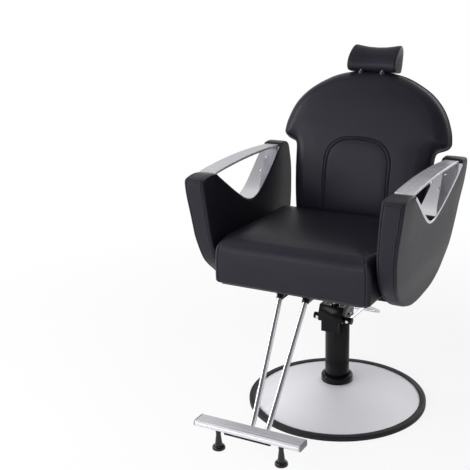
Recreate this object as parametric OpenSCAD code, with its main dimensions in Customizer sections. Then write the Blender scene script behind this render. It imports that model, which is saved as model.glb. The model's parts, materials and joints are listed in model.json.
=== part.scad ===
// Reclining barber chair: round base, hydraulic lift, swivel seat, upholstered arms, reclining back.
// The origin is on the floor at the centre of the base. The sitter faces -Y and +Z is up.

/* [Base] */
// Diameter of the base over its rubber trim
base_d = 590; // [540:5:680]
// Width of the rubber trim ring seen from above
trim_w = 20; // [14:1:26]
// Height of the rubber trim ring
trim_h = 14; // [13:1:20]
// Thickness of the steel base plate
plate_t = 8; // [6:1:9]
// Height of the pump collar's seat above the floor
collar_z = 71.5; // [60:0.5:90]
// Thickness of the stainless base cover
cover_t = 1.5; // [1:0.1:2.5]

/* [Pump] */
// Outside diameter of the black pump tube
tube_d = 80; // [76:1:90]
// Wall of the black pump tube
tube_t = 2; // [1.5:0.1:2.5]
// Height of the top of the pump tube above the floor
tube_top_z = 284; // [278:1:286]
// Outside diameter of the collar at the foot of the pump
collar_d = 105; // [98:1:120]
// Height of the collar
collar_h = 23; // [16:1:30]
// Diameter of the pump's cast body
pump_d = 72; // [70:1:74]
// Height of the top of the pump's body above the floor
pump_top_z = 322; // [318:1:325]
// Diameter of the chrome lifting ram
ram_d = 28; // [24:1:30]
// How far the ram stands ahead of the base's centre
ram_ahead = 18; // [17:0.5:19]
// Height of the ram's top above the floor
ram_top_z = 456; // [450:1:470]
// Length of the ram
ram_len = 336; // [300:1:350]

/* [Foot pump lever] */
// Diameter of the foot lever's rod
lever_rod_d = 11; // [8:0.5:12]
// Half the distance between the lever's two rods at the pump
lever_half_w = 52; // [50:1:56]
// Half the width of the lever's closed end
lever_end_half_w = 58; // [50:1:70]
// How far the closed end lies behind the base's centre
lever_reach = 226; // [180:1:250]
// Height of the lever's rods where they leave the yoke
lever_z = 303; // [300:0.5:306]
// Drop of the lever from the yoke to its closed end
lever_drop = 63; // [40:1:80]
// Width of the pressed yoke over its cheeks
yoke_w = 84; // [82:1:90]
// Sheet thickness of the yoke
yoke_t = 3; // [2:0.5:4]
// Height of the yoke's top above the floor
yoke_top_z = 350; // [348:1:354]
// Width of the yoke's front apron
apron_w = 62; // [50:1:70]
// Height of the lower edge of the apron above the floor
apron_low_z = 263; // [255:1:275]
// Diameter of the pin that the yoke turns on
yoke_pin_d = 9; // [7:0.5:9]

/* [Seat] */
// Width of the seat cushion
seat_w = 506; // [440:1:508]
// Front face of the seat cushion ahead of the base's centre
seat_front_y = 360; // [345:1:380]
// Rear edge of the seat cushion behind the base's centre
seat_rear = 104; // [90:1:106]
// Height of the seat cushion's upper edges above the floor
seat_top_z = 629; // [600:1:632]
// Rise of the seat cushion's top from its rear edge to its front edge
seat_rise = 9; // [0:1:12]
// Rise of the seat cushion's crown above its edges
seat_crown = 8; // [4:1:14]
// Radius of the seat cushion's upright corners
seat_corner_r = 15; // [10:1:30]
// Roll of the seat cushion's top edge
seat_roll = 26; // [16:1:40]
// Thickness of the plywood seat board
board_t = 12; // [9:1:15]
// Depth by which the board is let into the seat cushion
board_let_in = 5.3; // [3:0.1:8]
// Height of the frame's square tubes
rail_h = 25; // [20:1:25]
// Width of the frame's square tubes
rail_w = 30; // [20:1:30]
// Thickness of the mount plate
mount_t = 6; // [4:1:6]
// Width of the mount plate
mount_w = 220; // [200:1:230]
// Length of the mount plate from front to back
mount_len = 150; // [130:1:170]

/* [Arms] */
// Height of the arm panel's bottom above the floor
arm_low_z = 434; // [430:1:440]
// Height of the arm panel from bottom to top
arm_h = 386; // [370:1:395]
// Length of the arm panel from front to back
arm_len = 583; // [560:1:600]
// Rearmost point of the arm panel behind the base's centre
arm_rear = 221; // [215:1:224]
// Clearance between the seat cushion and an arm panel
arm_clear = 1.5; // [1:0.5:8]
// Outward lean of the inner face from bottom to top
arm_lean = 26; // [18:1:34]
// Thickness of the arm panel at its bottom
arm_thin = 46; // [38:1:56]
// Thickness of the arm panel at its fullest
arm_thick = 68; // [58:1:72]
// Depth of the arm's cut-out below the armrest bar's seat
cut_depth = 123; // [110:1:135]
// Half the width of the cut-out at its top
cut_half_w = 216; // [200:1:218]
// How far the middle of the cut-out lies ahead of the base's centre
cut_ahead = 72; // [64:1:78]
// Roundness of the bottom of the cut-out
cut_round_r = 65; // [50:1:90]
// Sheet thickness of the chrome arm trim
trim_t = 3; // [2:0.5:4]
// Width of the chrome lip on the panel's outer face
lip_w = 6; // [4:1:10]
// Thickness of the chrome armrest bar
bar_t = 8; // [6:0.5:10]
// Width of the armrest bar at its front end
bar_front_w = 58; // [50:1:62]
// Width of the armrest bar at its rear end
bar_rear_w = 46; // [40:1:56]
// Rise of the armrest bar's arch
bar_rise = 9; // [5:1:14]

/* [Back] */
// Backward lean of the back from upright in degrees
back_lean = 15; // [15:0.5:16]
// Distance of the shoulder line behind the base's centre
shoulder_y = 215; // [212:1:218]
// Height of the shoulder line above the floor
shoulder_z = 850; // [848:1:856]
// Length of the back above the shoulder line
back_up = 218; // [200:1:240]
// Length of the back below the shoulder line
back_down = 285; // [270:1:287]
// Half width of the back at its shoulders
shoulder_half_w = 290; // [270:1:291]
// Half width of the back at its waist, beside the arms
waist_half_w = 240; // [225:1:244]
// Thickness of the back's foam at its fullest
foam_t = 47; // [40:1:60]
// Thickness of the upholstered rear panel
rear_panel_t = 16; // [12:1:20]
// Half width of the arched lumbar panel
arch_half_w = 111; // [95:1:125]
// Height of the arch's top above the shoulder line
arch_up = -18; // [-30:1:5]
// Height of the arch's curved part
arch_curve_h = 96; // [70:1:110]
// Spacing of the arch's two seams
arch_seam = 9; // [7:1:14]
// Depth of the sewn seams in the back
seam_depth = 4; // [2:0.5:6]

/* [Headrest] */
// Width of the headrest
head_w = 168; // [150:1:200]
// Height of the headrest
head_h = 91; // [75:1:105]
// Depth of the headrest from front to back
head_depth = 76; // [70:1:100]
// Gap between the headrest's underside and the top of the back
head_gap = 1.5; // [1:0.5:10]
// Diameter of the headrest's posts
post_d = 10; // [8:0.5:12]
// Half the distance between the headrest's posts
post_half_w = 37; // [30:1:50]
// Length of post inside the back
post_in = 140; // [130:1:150]

/* [Recline] */
// Distance of the recline pivot behind the base's centre
pivot_y = 150; // [146:1:154]
// Height of the recline pivot above the floor
pivot_z = 450; // [446:1:452]
// Diameter of the recline hinge pins
hinge_pin_d = 12; // [10:1:12]
// Thickness of the hinge arms and brackets
hinge_t = 6; // [5:0.5:7]
// Distance of the hinge arms' inner faces from the middle plane
hinge_x = 150; // [140:1:156]
// Distance from the pivot to the gas spring's rear pin
lug_r = 48; // [46:1:50]
// Diameter of the gas spring's cylinder
gas_d = 22; // [18:1:22]
// Diameter of the gas spring's rod
gas_rod_d = 10; // [8:0.5:12]
// Distance of the gas spring from the middle plane
gas_x = 86; // [85:1:90]

/* [Recline lever] */
// Diameter of the recline lever's round hub
hub_d = 32; // [28:1:36]
// Thickness of the lever's hub
hub_t = 11; // [8:1:14]
// Diameter of the lever's rod
handle_d = 9.5; // [8:0.5:11]
// Length of the lever from the hub's centre to its tip
handle_len = 191; // [150:1:200]
// Distance of the hub ahead of the base's centre
hub_ahead = 129; // [115:1:140]
// Height of the hub above the floor
hub_z = 629; // [622:1:632]

/* [Footrest] */
// Diameter of the footrest's chrome stems
stem_d = 16; // [14:0.5:18]
// Half the distance between the stems at the seat
stem_top_half_w = 42; // [38:1:46]
// Half the distance between the stems at the tread
stem_low_half_w = 25; // [22:1:30]
// Distance of the stems' tops ahead of the base's centre
stem_top_y = 327; // [322:1:330]
// Distance of the stems' bends ahead of the base's centre
stem_bend_y = 547; // [530:1:555]
// Height of the stems' level feet above the floor
stem_low_z = 148; // [140:1:156]
// Length of the footrest's tread
tread_w = 336; // [280:1:380]
// Depth of the tread from front to back
tread_depth = 48; // [44:1:60]
// Thickness of the tread
tread_t = 18; // [14:1:22]
// Front face of the tread ahead of the base's centre
tread_front = 640; // [630:1:660]
// Half the distance between the tread's rubber feet
foot_half_w = 100; // [80:1:130]
// Height of the rubber feet's lower faces above the floor
foot_low_z = 97; // [85:1:105]

/* [Release cable] */
// Diameter of the release cable
cable_d = 7; // [5:0.5:8]

/* [Hidden] */
$fn = 64;

// Shared clearances and overruns
run_clear = 0.05;
soft_clear = 0.3;
bolt_clear = 0.3;
over = 1;
round_fn = 32;

// Fasteners
bolt_d = 8;
bolt_head_d = 14;
bolt_head_h = 5;

// Base and pump, derived
base_r = base_d / 2;
plate_r = base_r - trim_w - soft_clear;
plate_top = plate_t;
tube_r = tube_d / 2;
pump_r = pump_d / 2;
ram_r = ram_d / 2;
flange_r = 70;
flange_t = 9;
flange_bolt_r = 55;
cover_rim = 3;
cover_curve = 1.2;
cover_steps = 12;
seal_w = 6;
seal_h = 5;
pump_floor = 20;
yoke_pin_y = 5.5;
yoke_pin_z = 311;
plunger_y = 21;
plunger_d = 10;
plunger_len = 62;
plunger_gap = 0.3;

// Yoke, derived
yoke_rear = 35;
yoke_front = 48;
apron_y = 61;
apron_top_z = 323;
cheek_low_z = 298;
ear_y = 35;
ear_d = 22;
ear_out = 66;
yoke_pin_over = 3;
lever_stub = 14;

// Seat stack, from the mount plate up
hub_over_ram = 16;
hub_low_z = ram_top_z - hub_over_ram;
hub_r = 30;
mount_z = ram_top_z + soft_clear;
rail_z = mount_z + mount_t;
board_z = rail_z + rail_h;
seat_low_z = board_z + board_t - board_let_in;
rail_x = 90;
rail_wall = 2.5;
rail_front = 210;
rail_rear = 93;
cross_ys = [-rail_front + rail_w / 2, rail_rear - rail_w / 2];
mount_bolt_x = rail_x;
mount_bolt_y = 52;
board_in = 18;
board_rear_in = 6;

// Arm panel, derived
arm_edge_r = 16;
arm_round_share = 0.95;
lip_t = 2;
bar_sink = 13;
cut_front_share = 1.075;
cut_rear_share = 0.96;
arm_inner = seat_w / 2 + arm_clear;
arm_bolt_in = 20;
cut_top_z = arm_low_z + arm_h - bar_sink;
cut_low_z = cut_top_z - cut_depth;
bar_z = cut_top_z + over;
bar_front = cut_ahead + cut_half_w / cut_front_share - trim_t;
bar_rear = cut_half_w / cut_rear_share - cut_ahead;
arm_bolt_z = rail_z + rail_h / 2;

// Front edge of the arm panel: share of the height, share of the length from the rearmost point
arm_front_shares = [
    [0.000, 0.560], [0.006, 0.615], [0.016, 0.650], [0.033, 0.690], [0.063, 0.745], [0.109, 0.797],
    [0.171, 0.847], [0.296, 0.926], [0.477, 0.975], [0.598, 0.988], [0.741, 0.995], [0.845, 1.000],
    [0.930, 1.000], [0.953, 0.998], [0.964, 0.995], [0.972, 0.986], [0.979, 0.969], [0.984, 0.945],
    [0.988, 0.914], [0.992, 0.894], [1.000, 0.868]
];
// Rear edge of the arm panel, in the same shares
arm_rear_shares = [
    [0.000, 0.500], [0.006, 0.435], [0.012, 0.385], [0.024, 0.324], [0.052, 0.257], [0.099, 0.190],
    [0.197, 0.123], [0.332, 0.072], [0.477, 0.039], [0.640, 0.015], [0.780, 0.000], [0.930, 0.000],
    [0.965, 0.004], [0.985, 0.014], [1.000, 0.035]
];
// Inner face of the arm panel: share of the height, share of its outward lean
arm_inner_shares = [[0, 0], [0.16, 0], [0.48, 0.29], [0.64, 0.46], [0.82, 0.70], [0.94, 0.90], [1, 1]];
// Thickness of the arm panel: share of the height, share of the fullest thickness past the thinnest
arm_thick_shares = [
    [0, 0], [0.10, 0.08], [0.17, 0.22], [0.30, 0.48], [0.40, 0.55], [0.48, 0.62],
    [0.60, 0.70], [0.70, 0.82], [0.80, 0.95], [0.90, 1], [1, 0.90]
];
arm_row_shares = [
    0, 0.006, 0.016, 0.034, 0.064, 0.105, 0.16, 0.22, 0.30, 0.39, 0.487, 0.57, 0.65, 0.73, 0.79, 0.845,
    0.90, 0.93, 0.953, 0.968, 0.979, 0.988, 0.994, 1
];

// Back outline: share of the whole length from the bottom, share of the half width
back_len = back_up + back_down;
back_width_shares = [
    [0.000, 0.66], [0.012, 0.70], [0.030, 0.735], [0.070, 0.760], [0.200, 0.790], [0.340, 0.812],
    [0.456, 0.825], [0.492, 0.835], [0.512, 0.860], [0.527, 0.925], [0.539, 0.968], [0.556, 0.992],
    [0.572, 1.000], [0.628, 0.988], [0.678, 0.962], [0.736, 0.920], [0.791, 0.862], [0.851, 0.768],
    [0.895, 0.670], [0.934, 0.550], [0.960, 0.452], [0.978, 0.352], [0.990, 0.25], [1.000, 0.15]
];
// Foam thickness along the back: share of the length, share of the full thickness
back_foam_shares = [
    [0.000, 0.40], [0.012, 0.48], [0.030, 0.55], [0.069, 0.63], [0.120, 0.72], [0.167, 0.80],
    [0.240, 0.88], [0.324, 0.95], [0.400, 0.98], [0.461, 1.00], [0.559, 1.00], [0.620, 1.00],
    [0.676, 0.98], [0.740, 0.96], [0.794, 0.93], [0.850, 0.88], [0.912, 0.80], [0.950, 0.68],
    [0.980, 0.55], [1.000, 0.42]
];
back_row_shares = [
    0, 0.012, 0.03, 0.07, 0.13, 0.20, 0.27, 0.34, 0.395, 0.43, 0.46, 0.492, 0.512, 0.527, 0.539, 0.55,
    0.561, 0.572, 0.59, 0.61, 0.645, 0.69, 0.736, 0.78, 0.82, 0.86, 0.895, 0.934, 0.96, 0.978, 0.99, 1
];
roll_col_shares = [1, 0.62, 0.33, 0.13, 0.03, 0];
foam_edge_share = 0.08;
foam_roll = 50;
foam_sag = 0.1;
foam_power = 2.6;
foam_rear = 8;
panel_in = 3;
waist_share = 0.828;
arch_power = 2.7;

// Headrest profile: share of the depth from the rear, share of the height
head_profile_shares = [
    [0.12, 0.03], [0.30, 0.00], [0.55, 0.00], [0.76, 0.01], [0.90, 0.05], [0.98, 0.14],
    [1.00, 0.25], [0.97, 0.38], [0.88, 0.53], [0.74, 0.69], [0.56, 0.85], [0.38, 0.96],
    [0.22, 1.00], [0.10, 0.97], [0.03, 0.88], [0.00, 0.72], [0.00, 0.40], [0.02, 0.20], [0.06, 0.09]
];
// Headrest sections across its width: share of the half width, size of the profile
head_row_shares = [
    [-1, 0.80], [-0.985, 0.92], [-0.95, 0.985], [-0.86, 1.0], [-0.65, 0.965], [-0.35, 0.925],
    [0, 0.91], [0.35, 0.925], [0.65, 0.965], [0.86, 1.0], [0.95, 0.985], [0.985, 0.92], [1, 0.80]
];
head_front = 24;
post_up = 40;
sleeve_d = 18;
sleeve_collar_d = 22;
sleeve_collar_h = 1.2;
post_n = 5;

// Recline, derived
hinge_pin_r = hinge_pin_d / 2;
bracket_gap = 1;
bracket_x = hinge_x + hinge_t + bracket_gap;
lug_angle = 10;
lug_y = pivot_y - lug_r * sin(lug_angle);
lug_z = pivot_z - lug_r * cos(lug_angle);
lug_pin_d = 8;
eye_d = 20;
eye_bore_d = 12;
gas_front_y = -30;
gas_front_z = 432;
gas_len = norm([lug_y - gas_front_y, lug_z - gas_front_z]);
gas_tilt = atan2(lug_z - gas_front_z, lug_y - gas_front_y);
gas_body_len = 95;
gas_tail = 34;
gas_neck = 12;
arm_bar_w = 30;
hinge_up = 120;
tang_w = 8;

// Recline lever, derived
hub_gap = 1.5;
hub_x = arm_x_out(share_z(hub_z + hub_d / 2)) + hub_gap;
spindle_d = 12;
spindle_share = 0.6;
entry_seat = 2;
handle_lean = 7;
tip_len = 9;
tip_over = 1;

// Footrest, derived
stem_r = stem_d / 2;
stem_bend_rise = 10;
stem_foot_in = 36;
plate_over_stem = 8;
stem_top = [stem_top_half_w, -stem_top_y, board_z - stem_r * 0.75];
stem_bend = [stem_low_half_w, -stem_bend_y, stem_low_z + stem_bend_rise];
stem_foot = [stem_low_half_w, -tread_front + stem_foot_in, stem_low_z];
stem_round_shares = [0, 0.2, 0.4, 0.6, 0.8, 1];
tread_low_z = stem_low_z + stem_r + plate_over_stem;
tread_plate_w = 146;
cap_t = 4;

// Route of the release cable from the arm panel to its stop, points chosen by hand
cable_route = [
    [-283, 170, 560], [-283, 188, 560], [-280, 215, 563], [-274, 242, 561], [-265, 267, 551],
    [-254, 286, 530], [-243, 296, 505], [-230, 297, 478], [-213, 287, 450], [-192, 268, 427],
    [-170, 243, 412], [-150, 216, 406], [-134, 192, 407], [-123, 170, 413], [-118, 155, 424],
    [-118, 148, 436], [-118, 147, 448]
];

// Value of a table at t, with t and the table's first column in shares
function at(table, t) = lookup(t, table);
// Height of a point of the arm panel, as a share of its height
function share_z(z) = (z - arm_low_z) / arm_h;
function arm_x_in(t) = arm_inner + arm_lean * at(arm_inner_shares, t);
function arm_x_out(t) = arm_x_in(t) + arm_thin + (arm_thick - arm_thin) * at(arm_thick_shares, t);
function arm_y_front(t) = arm_rear - arm_len * at(arm_front_shares, t);
function arm_y_rear(t) = arm_rear - arm_len * at(arm_rear_shares, t);

// One corner of a rounded ring, then points along the next side, which is drawn in at its middle
function ring_corner(c, r, start, next, pull, steps) = [
    for (i = [0 : steps]) c + r * [cos(start + 90 * i / steps), sin(start + 90 * i / steps)],
    for (t = [0.25, 0.5, 0.75])
        let (from = c + r * [cos(start + 90), sin(start + 90)])
        from + (next - from) * t - pull * 4 * t * (1 - t) * [cos(start + 90), sin(start + 90)]
];
// Ring of a rounded rectangle, drawn in along its sides, counter-clockwise
function rounded_ring(x0, x1, y0, y1, r, pull, steps) =
    let (q = min(r, (x1 - x0) / 2.1, (y1 - y0) / 2.1))
    concat(
        ring_corner([x1 - q, y1 - q], q, 0, [x0 + q, y1], pull, steps),
        ring_corner([x0 + q, y1 - q], q, 90, [x0, y0 + q], pull, steps),
        ring_corner([x0 + q, y0 + q], q, 180, [x1 - q, y0], pull, steps),
        ring_corner([x1 - q, y0 + q], q, 270, [x1, y1 - q], pull, steps)
    );
function ring_at_z(ring, z) = [for (p = ring) [p[0], p[1], z]];
function ring_middle(ring) = [for (k = [0 : 2]) [for (p = ring) 1] * [for (p = ring) p[k]] / len(ring)];

// Closed solid through rings of equal count, each turning counter-clockwise seen from the last ring
module skin(rings) {
    n = len(rings[0]);
    last = len(rings) - 1;
    points = concat([for (ring = rings) each ring], [ring_middle(rings[0]), ring_middle(rings[last])]);
    sides = [
        for (i = [0 : last - 1], j = [0 : n - 1])
            let (a = i * n + j, b = i * n + (j + 1) % n)
            each [[a, a + n, b], [b, a + n, b + n]]
    ];
    ends = [
        for (j = [0 : n - 1])
            let (k = (j + 1) % n)
            each [[j, k, last * n + n], [last * n + k, last * n + j, last * n + n + 1]]
    ];
    polyhedron(points, concat(sides, ends), convexity = 6);
}

// Tube of radius r along a route, with the given number of sides
function route_dir(route, i) =
    let (a = route[max(i - 1, 0)], b = route[min(i + 1, len(route) - 1)])
    (b - a) / norm(b - a);
function unit(v) = v / norm(v);
module tube_along(route, r, sides, up) {
    skin([
        for (i = [0 : len(route) - 1])
            let (d = route_dir(route, i), u = unit(cross(up, d)), v = cross(d, u))
            [for (j = [0 : sides - 1]) route[i] + r * (cos(360 * j / sides) * u + sin(360 * j / sides) * v)]
    ]);
}
// Points of a smooth curve through a route, with a number of steps between its points
function smooth_point(p, i, t) =
    let (
        n = len(p) - 1, a = p[max(i - 1, 0)], b = p[i], c = p[min(i + 1, n)], d = p[min(i + 2, n)]
    )
    b + (c - a) * t / 2 + (2 * a - 5 * b + 4 * c - d) * pow(t, 2) / 2
    + (3 * b - a - 3 * c + d) * pow(t, 3) / 2;
function smooth_route(p, steps) = [
    for (i = [0 : len(p) - 2], k = [0 : steps - 1]) smooth_point(p, i, k / steps),
    p[len(p) - 1]
];

module at_each(xs, ys, z) {
    for (x = xs, y = ys) translate([x, y, z]) children();
}
module both_sides() {
    children();
    mirror([1, 0, 0]) children();
}
// Bar across the chair, along +X from x0 to x1, round about [y, z]
module cross_pin(x0, x1, y, z, d) {
    translate([x0, y, z]) rotate([0, 90, 0]) cylinder(h = x1 - x0, d = d);
}
// Side profile in [y, z], extruded across the chair from x0 to x1
module side_extrude(x0, x1) {
    translate([x0, 0, 0]) rotate([90, 0, 90]) linear_extrude(x1 - x0) children();
}
// Frame of the back: local Z runs up the back and local -Y points out of its front
module on_back() {
    translate([0, shoulder_y, shoulder_z]) rotate([-back_lean, 0, 0]) children();
}

module base_plate() {
    color("dimgray") difference() {
        cylinder(h = plate_t, r = plate_r, $fn = 128);
        for (a = [45 : 90 : 315])
            rotate(a) translate([flange_bolt_r, 0, -over])
                cylinder(h = plate_t + 2 * over, d = bolt_d + 2 * bolt_clear);
    }
}

// Height of the cover's top at radius r
function cover_z(r) =
    let (r0 = collar_d / 2, r1 = plate_r - cover_rim, low = plate_top + cover_t)
    low + (collar_z - low) * (1 - pow(max(0, r - r0) / (r1 - r0), cover_curve));
module base_cover() {
    inner = tube_r + soft_clear;
    rim = plate_r - cover_rim;
    rs = [for (i = [0 : cover_steps]) inner + (rim - inner) * i / cover_steps];
    color("silver") rotate_extrude($fn = 128) polygon(concat(
        [for (r = rs) [r, cover_z(r)]],
        [[plate_r, plate_top + cover_t], [plate_r, plate_top]],
        [for (i = [cover_steps : -1 : 0]) [rs[i], cover_z(rs[i]) - cover_t]]
    ));
}

module base_trim() {
    round_r = 5;
    color("#2b2b2e") rotate_extrude($fn = 128) {
        translate([base_r - trim_w, 0]) square([trim_w - round_r, trim_h]);
        translate([base_r - trim_w, 0]) square([trim_w, trim_h - round_r]);
        translate([base_r - round_r, trim_h - round_r]) circle(round_r, $fn = round_fn);
    }
}

module base_bolts() {
    color("gray") for (a = [45 : 90 : 315]) rotate(a) translate([flange_bolt_r, 0, over]) {
        cylinder(h = plate_t + flange_t - over, d = bolt_d);
        translate([0, 0, plate_t + flange_t - over]) cylinder(h = bolt_head_h, d = bolt_head_d, $fn = 6);
    }
}

module pump_body() {
    color("#3a3a3c") difference() {
        union() {
            translate([0, 0, plate_top]) cylinder(h = flange_t, r = flange_r);
            translate([0, 0, plate_top]) cylinder(h = pump_top_z - plate_top, r = pump_r);
        }
        for (a = [45 : 90 : 315])
            rotate(a) translate([flange_bolt_r, 0, plate_top - over])
                cylinder(h = flange_t + 2 * over, d = bolt_d + 2 * bolt_clear);
        translate([0, -ram_ahead, plate_top + pump_floor])
            cylinder(h = pump_top_z - plate_top - pump_floor + over, r = ram_r + run_clear);
        translate([0, plunger_y, pump_top_z - plunger_len])
            cylinder(h = plunger_len + over, d = plunger_d + 2 * run_clear);
        cross_pin(-pump_r - over, pump_r + over, yoke_pin_y, yoke_pin_z, yoke_pin_d + 2 * run_clear);
    }
}

module pump_tube() {
    foot_z = plate_top + flange_t;
    color("#1c1c1f") translate([0, 0, foot_z]) difference() {
        cylinder(h = tube_top_z - foot_z, r = tube_r);
        translate([0, 0, -over]) cylinder(h = tube_top_z - foot_z + 2 * over, r = tube_r - tube_t);
    }
}

module pump_collar() {
    round_r = 6;
    inner = tube_r + soft_clear;
    outer = collar_d / 2;
    color("#141416") translate([0, 0, collar_z]) rotate_extrude() {
        translate([inner, 0]) square([outer - inner, collar_h - round_r]);
        translate([inner, 0]) square([outer - round_r - inner, collar_h]);
        translate([outer - round_r, collar_h - round_r]) circle(round_r, $fn = round_fn);
    }
}

module ram_seal() {
    inner = ram_r + run_clear;
    color("black") translate([0, -ram_ahead, pump_top_z]) rotate_extrude()
        polygon([[inner, 0], [inner + seal_w, 0], [inner + seal_w, seal_h / 2], [inner + seal_w / 2, seal_h],
            [inner, seal_h]]);
}

module yoke_pin() {
    reach = yoke_w / 2 + yoke_pin_over;
    color("silver") cross_pin(-reach, reach, yoke_pin_y, yoke_pin_z, yoke_pin_d);
}

// Pressed hood over the pump's head, with an apron in front and an ear for each lever rod
module pump_yoke() {
    half = yoke_w / 2;
    color("#1c1c1f") difference() {
        union() {
            side_extrude(-half, half) polygon([
                [yoke_rear, cheek_low_z], [yoke_rear, yoke_top_z], [-yoke_front, yoke_top_z],
                [-apron_y, apron_top_z], [-apron_y, cheek_low_z]
            ]);
            side_extrude(-apron_w / 2, apron_w / 2) polygon([
                [-apron_y, apron_low_z], [-apron_y, apron_top_z], [-apron_y + yoke_t, apron_top_z],
                [-apron_y + yoke_t, apron_low_z]
            ]);
            cross_pin(-ear_out, ear_out, -ear_y, lever_z, ear_d);
        }
        side_extrude(-half + yoke_t, half - yoke_t) polygon([
            [yoke_rear + over, cheek_low_z - ear_d], [yoke_rear + over, yoke_top_z - yoke_t],
            [-yoke_front + yoke_t / 2, yoke_top_z - yoke_t], [-apron_y + yoke_t, apron_top_z - yoke_t / 2],
            [-apron_y + yoke_t, cheek_low_z - ear_d]
        ]);
        translate([-ram_r - 3 * yoke_t, -yoke_front + yoke_t, yoke_top_z - 2 * yoke_t])
            cube([ram_d + 6 * yoke_t, yoke_front, 3 * yoke_t]);
        cross_pin(-half - over, half + over, yoke_pin_y, yoke_pin_z, yoke_pin_d + 2 * run_clear);
        both_sides() translate([lever_half_w, 0, lever_z]) rotate([90, 0, 0])
            cylinder(h = ear_y + ear_d, d = lever_rod_d + 2 * run_clear);
    }
}

// One side of the lever's route, from the ear back to the closed end: shares of the reach and the drop
lever_shares = [[0.30, 0], [0.45, 0.06], [0.60, 0.22], [0.74, 0.46], [0.88, 0.74], [0.96, 0.90]];
function lever_side(side) = [
    [side * lever_half_w, -ear_y - lever_stub, lever_z],
    [side * lever_half_w, 0, lever_z],
    for (p = lever_shares) [
        side * (lever_half_w + (lever_end_half_w - lever_half_w) * p[0]),
        lever_reach * p[0], lever_z - lever_drop * p[1]
    ],
    [side * (lever_end_half_w - 2 * lever_rod_d / 3), lever_reach * 1.01, lever_z - lever_drop]
];
function reversed(list) = [for (i = [len(list) - 1 : -1 : 0]) list[i]];
module foot_lever() {
    color("silver") tube_along(
        smooth_route(concat(lever_side(1), [[0, lever_reach * 1.02, lever_z - lever_drop]],
            reversed(lever_side(-1))), 3),
        lever_rod_d / 2, 12, [0, 0, 1]
    );
}

module pump_plunger() {
    top = yoke_top_z - yoke_t - plunger_gap;
    low = pump_top_z - plunger_len + plunger_d;
    color("silver") translate([0, plunger_y, low]) cylinder(h = top - low, d = plunger_d);
}

module ram_rod() {
    color("silver") translate([0, -ram_ahead, ram_top_z - ram_len]) cylinder(h = ram_len, r = ram_r);
}

module mount_plate() {
    color("#1c1c1f") difference() {
        union() {
            translate([-mount_w / 2, -ram_ahead - mount_len / 2, mount_z])
                cube([mount_w, mount_len, mount_t]);
            translate([0, -ram_ahead, hub_low_z]) cylinder(h = mount_z - hub_low_z + mount_t / 2, r = hub_r);
        }
        translate([0, -ram_ahead, hub_low_z - over])
            cylinder(h = mount_z - hub_low_z + over, r = ram_r + run_clear);
        at_each([-mount_bolt_x, mount_bolt_x], [-ram_ahead - mount_bolt_y, -ram_ahead + mount_bolt_y],
            mount_z - over)
            cylinder(h = mount_t + 2 * over, d = bolt_d + 2 * bolt_clear);
    }
}

module mount_bolts() {
    color("gray") at_each([-mount_bolt_x, mount_bolt_x],
        [-ram_ahead - mount_bolt_y, -ram_ahead + mount_bolt_y], mount_z - bolt_head_h) {
        cylinder(h = bolt_head_h, d = bolt_head_d, $fn = 6);
        cylinder(h = bolt_head_h + mount_t + rail_h / 2, d = bolt_d);
    }
}

// Square tube with open ends, along X or Y
module rail(size) {
    hollow = [for (s = size) s > 2 * rail_w ? s + 2 * over : s - 2 * rail_wall];
    difference() {
        translate(-size / 2) cube(size);
        translate(-hollow / 2) cube(hollow);
    }
}
function frame_span() = arm_x_in(share_z(arm_bolt_z)) - soft_clear;
module frame_rails() {
    rail_len = rail_front + rail_rear - 2 * rail_w;
    color("#26262a") difference() {
        both_sides() translate([rail_x, (rail_rear - rail_front) / 2, rail_z + rail_h / 2])
            rail([rail_w, rail_len, rail_h]);
        at_each([-mount_bolt_x, mount_bolt_x], [-ram_ahead - mount_bolt_y, -ram_ahead + mount_bolt_y],
            rail_z - over)
            cylinder(h = rail_wall + 2 * over, d = bolt_d + 2 * bolt_clear);
    }
}
module frame_crossbars() {
    span = frame_span();
    color("#26262a") difference() {
        for (y = cross_ys) {
            translate([0, y, rail_z + rail_h / 2]) rail([2 * span, rail_w, rail_h]);
            both_sides() translate([span - rail_wall, y - rail_w / 2, rail_z])
                cube([rail_wall, rail_w, rail_h]);
        }
        both_sides() for (y = cross_ys)
            cross_pin(span - rail_wall - over, span + over, y, arm_bolt_z, bolt_d + 2 * bolt_clear);
    }
}

module board_space(grow) {
    half = seat_w / 2 - board_in + grow;
    translate([-half, -seat_front_y + board_in - grow, board_z])
        cube([2 * half, seat_front_y + seat_rear - board_in - board_rear_in + 2 * grow, board_t + grow]);
}
module seat_board() {
    color("burlywood") board_space(0);
}

// Sections of the seat cushion: height, inset of the outline, pull of the sides, all from its own sizes
// How far the front's roll reaches back, as a share of the sides' roll
seat_front_share = 1.25;
function seat_rows() = [
    [seat_low_z, seat_roll * 0.5, 0],
    [seat_low_z + seat_roll * 0.12, seat_roll * 0.2, 0],
    [seat_low_z + seat_roll * 0.4, 0, 0],
    [seat_low_z + seat_roll * 1.2, 0, seat_crown * 0.4],
    [(seat_low_z + seat_top_z) / 2, 0, seat_crown * 0.5],
    [seat_top_z - seat_roll * 1.4, 0, seat_crown * 0.4],
    [seat_top_z - seat_roll * 0.8, seat_roll * 0.06, seat_crown * 0.2],
    [seat_top_z - seat_roll * 0.45, seat_roll * 0.24, 0],
    [seat_top_z - seat_roll * 0.2, seat_roll * 0.52, 0],
    [seat_top_z - seat_roll * 0.04, seat_roll * 0.95, 0],
    [seat_top_z + seat_crown * 0.30, seat_roll * 1.9, 0],
    [seat_top_z + seat_crown * 0.62, seat_roll * 3.4, 0],
    [seat_top_z + seat_crown * 0.88, seat_roll * 5.4, 0],
    [seat_top_z + seat_crown, seat_roll * 7.6, 0]
];
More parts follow.
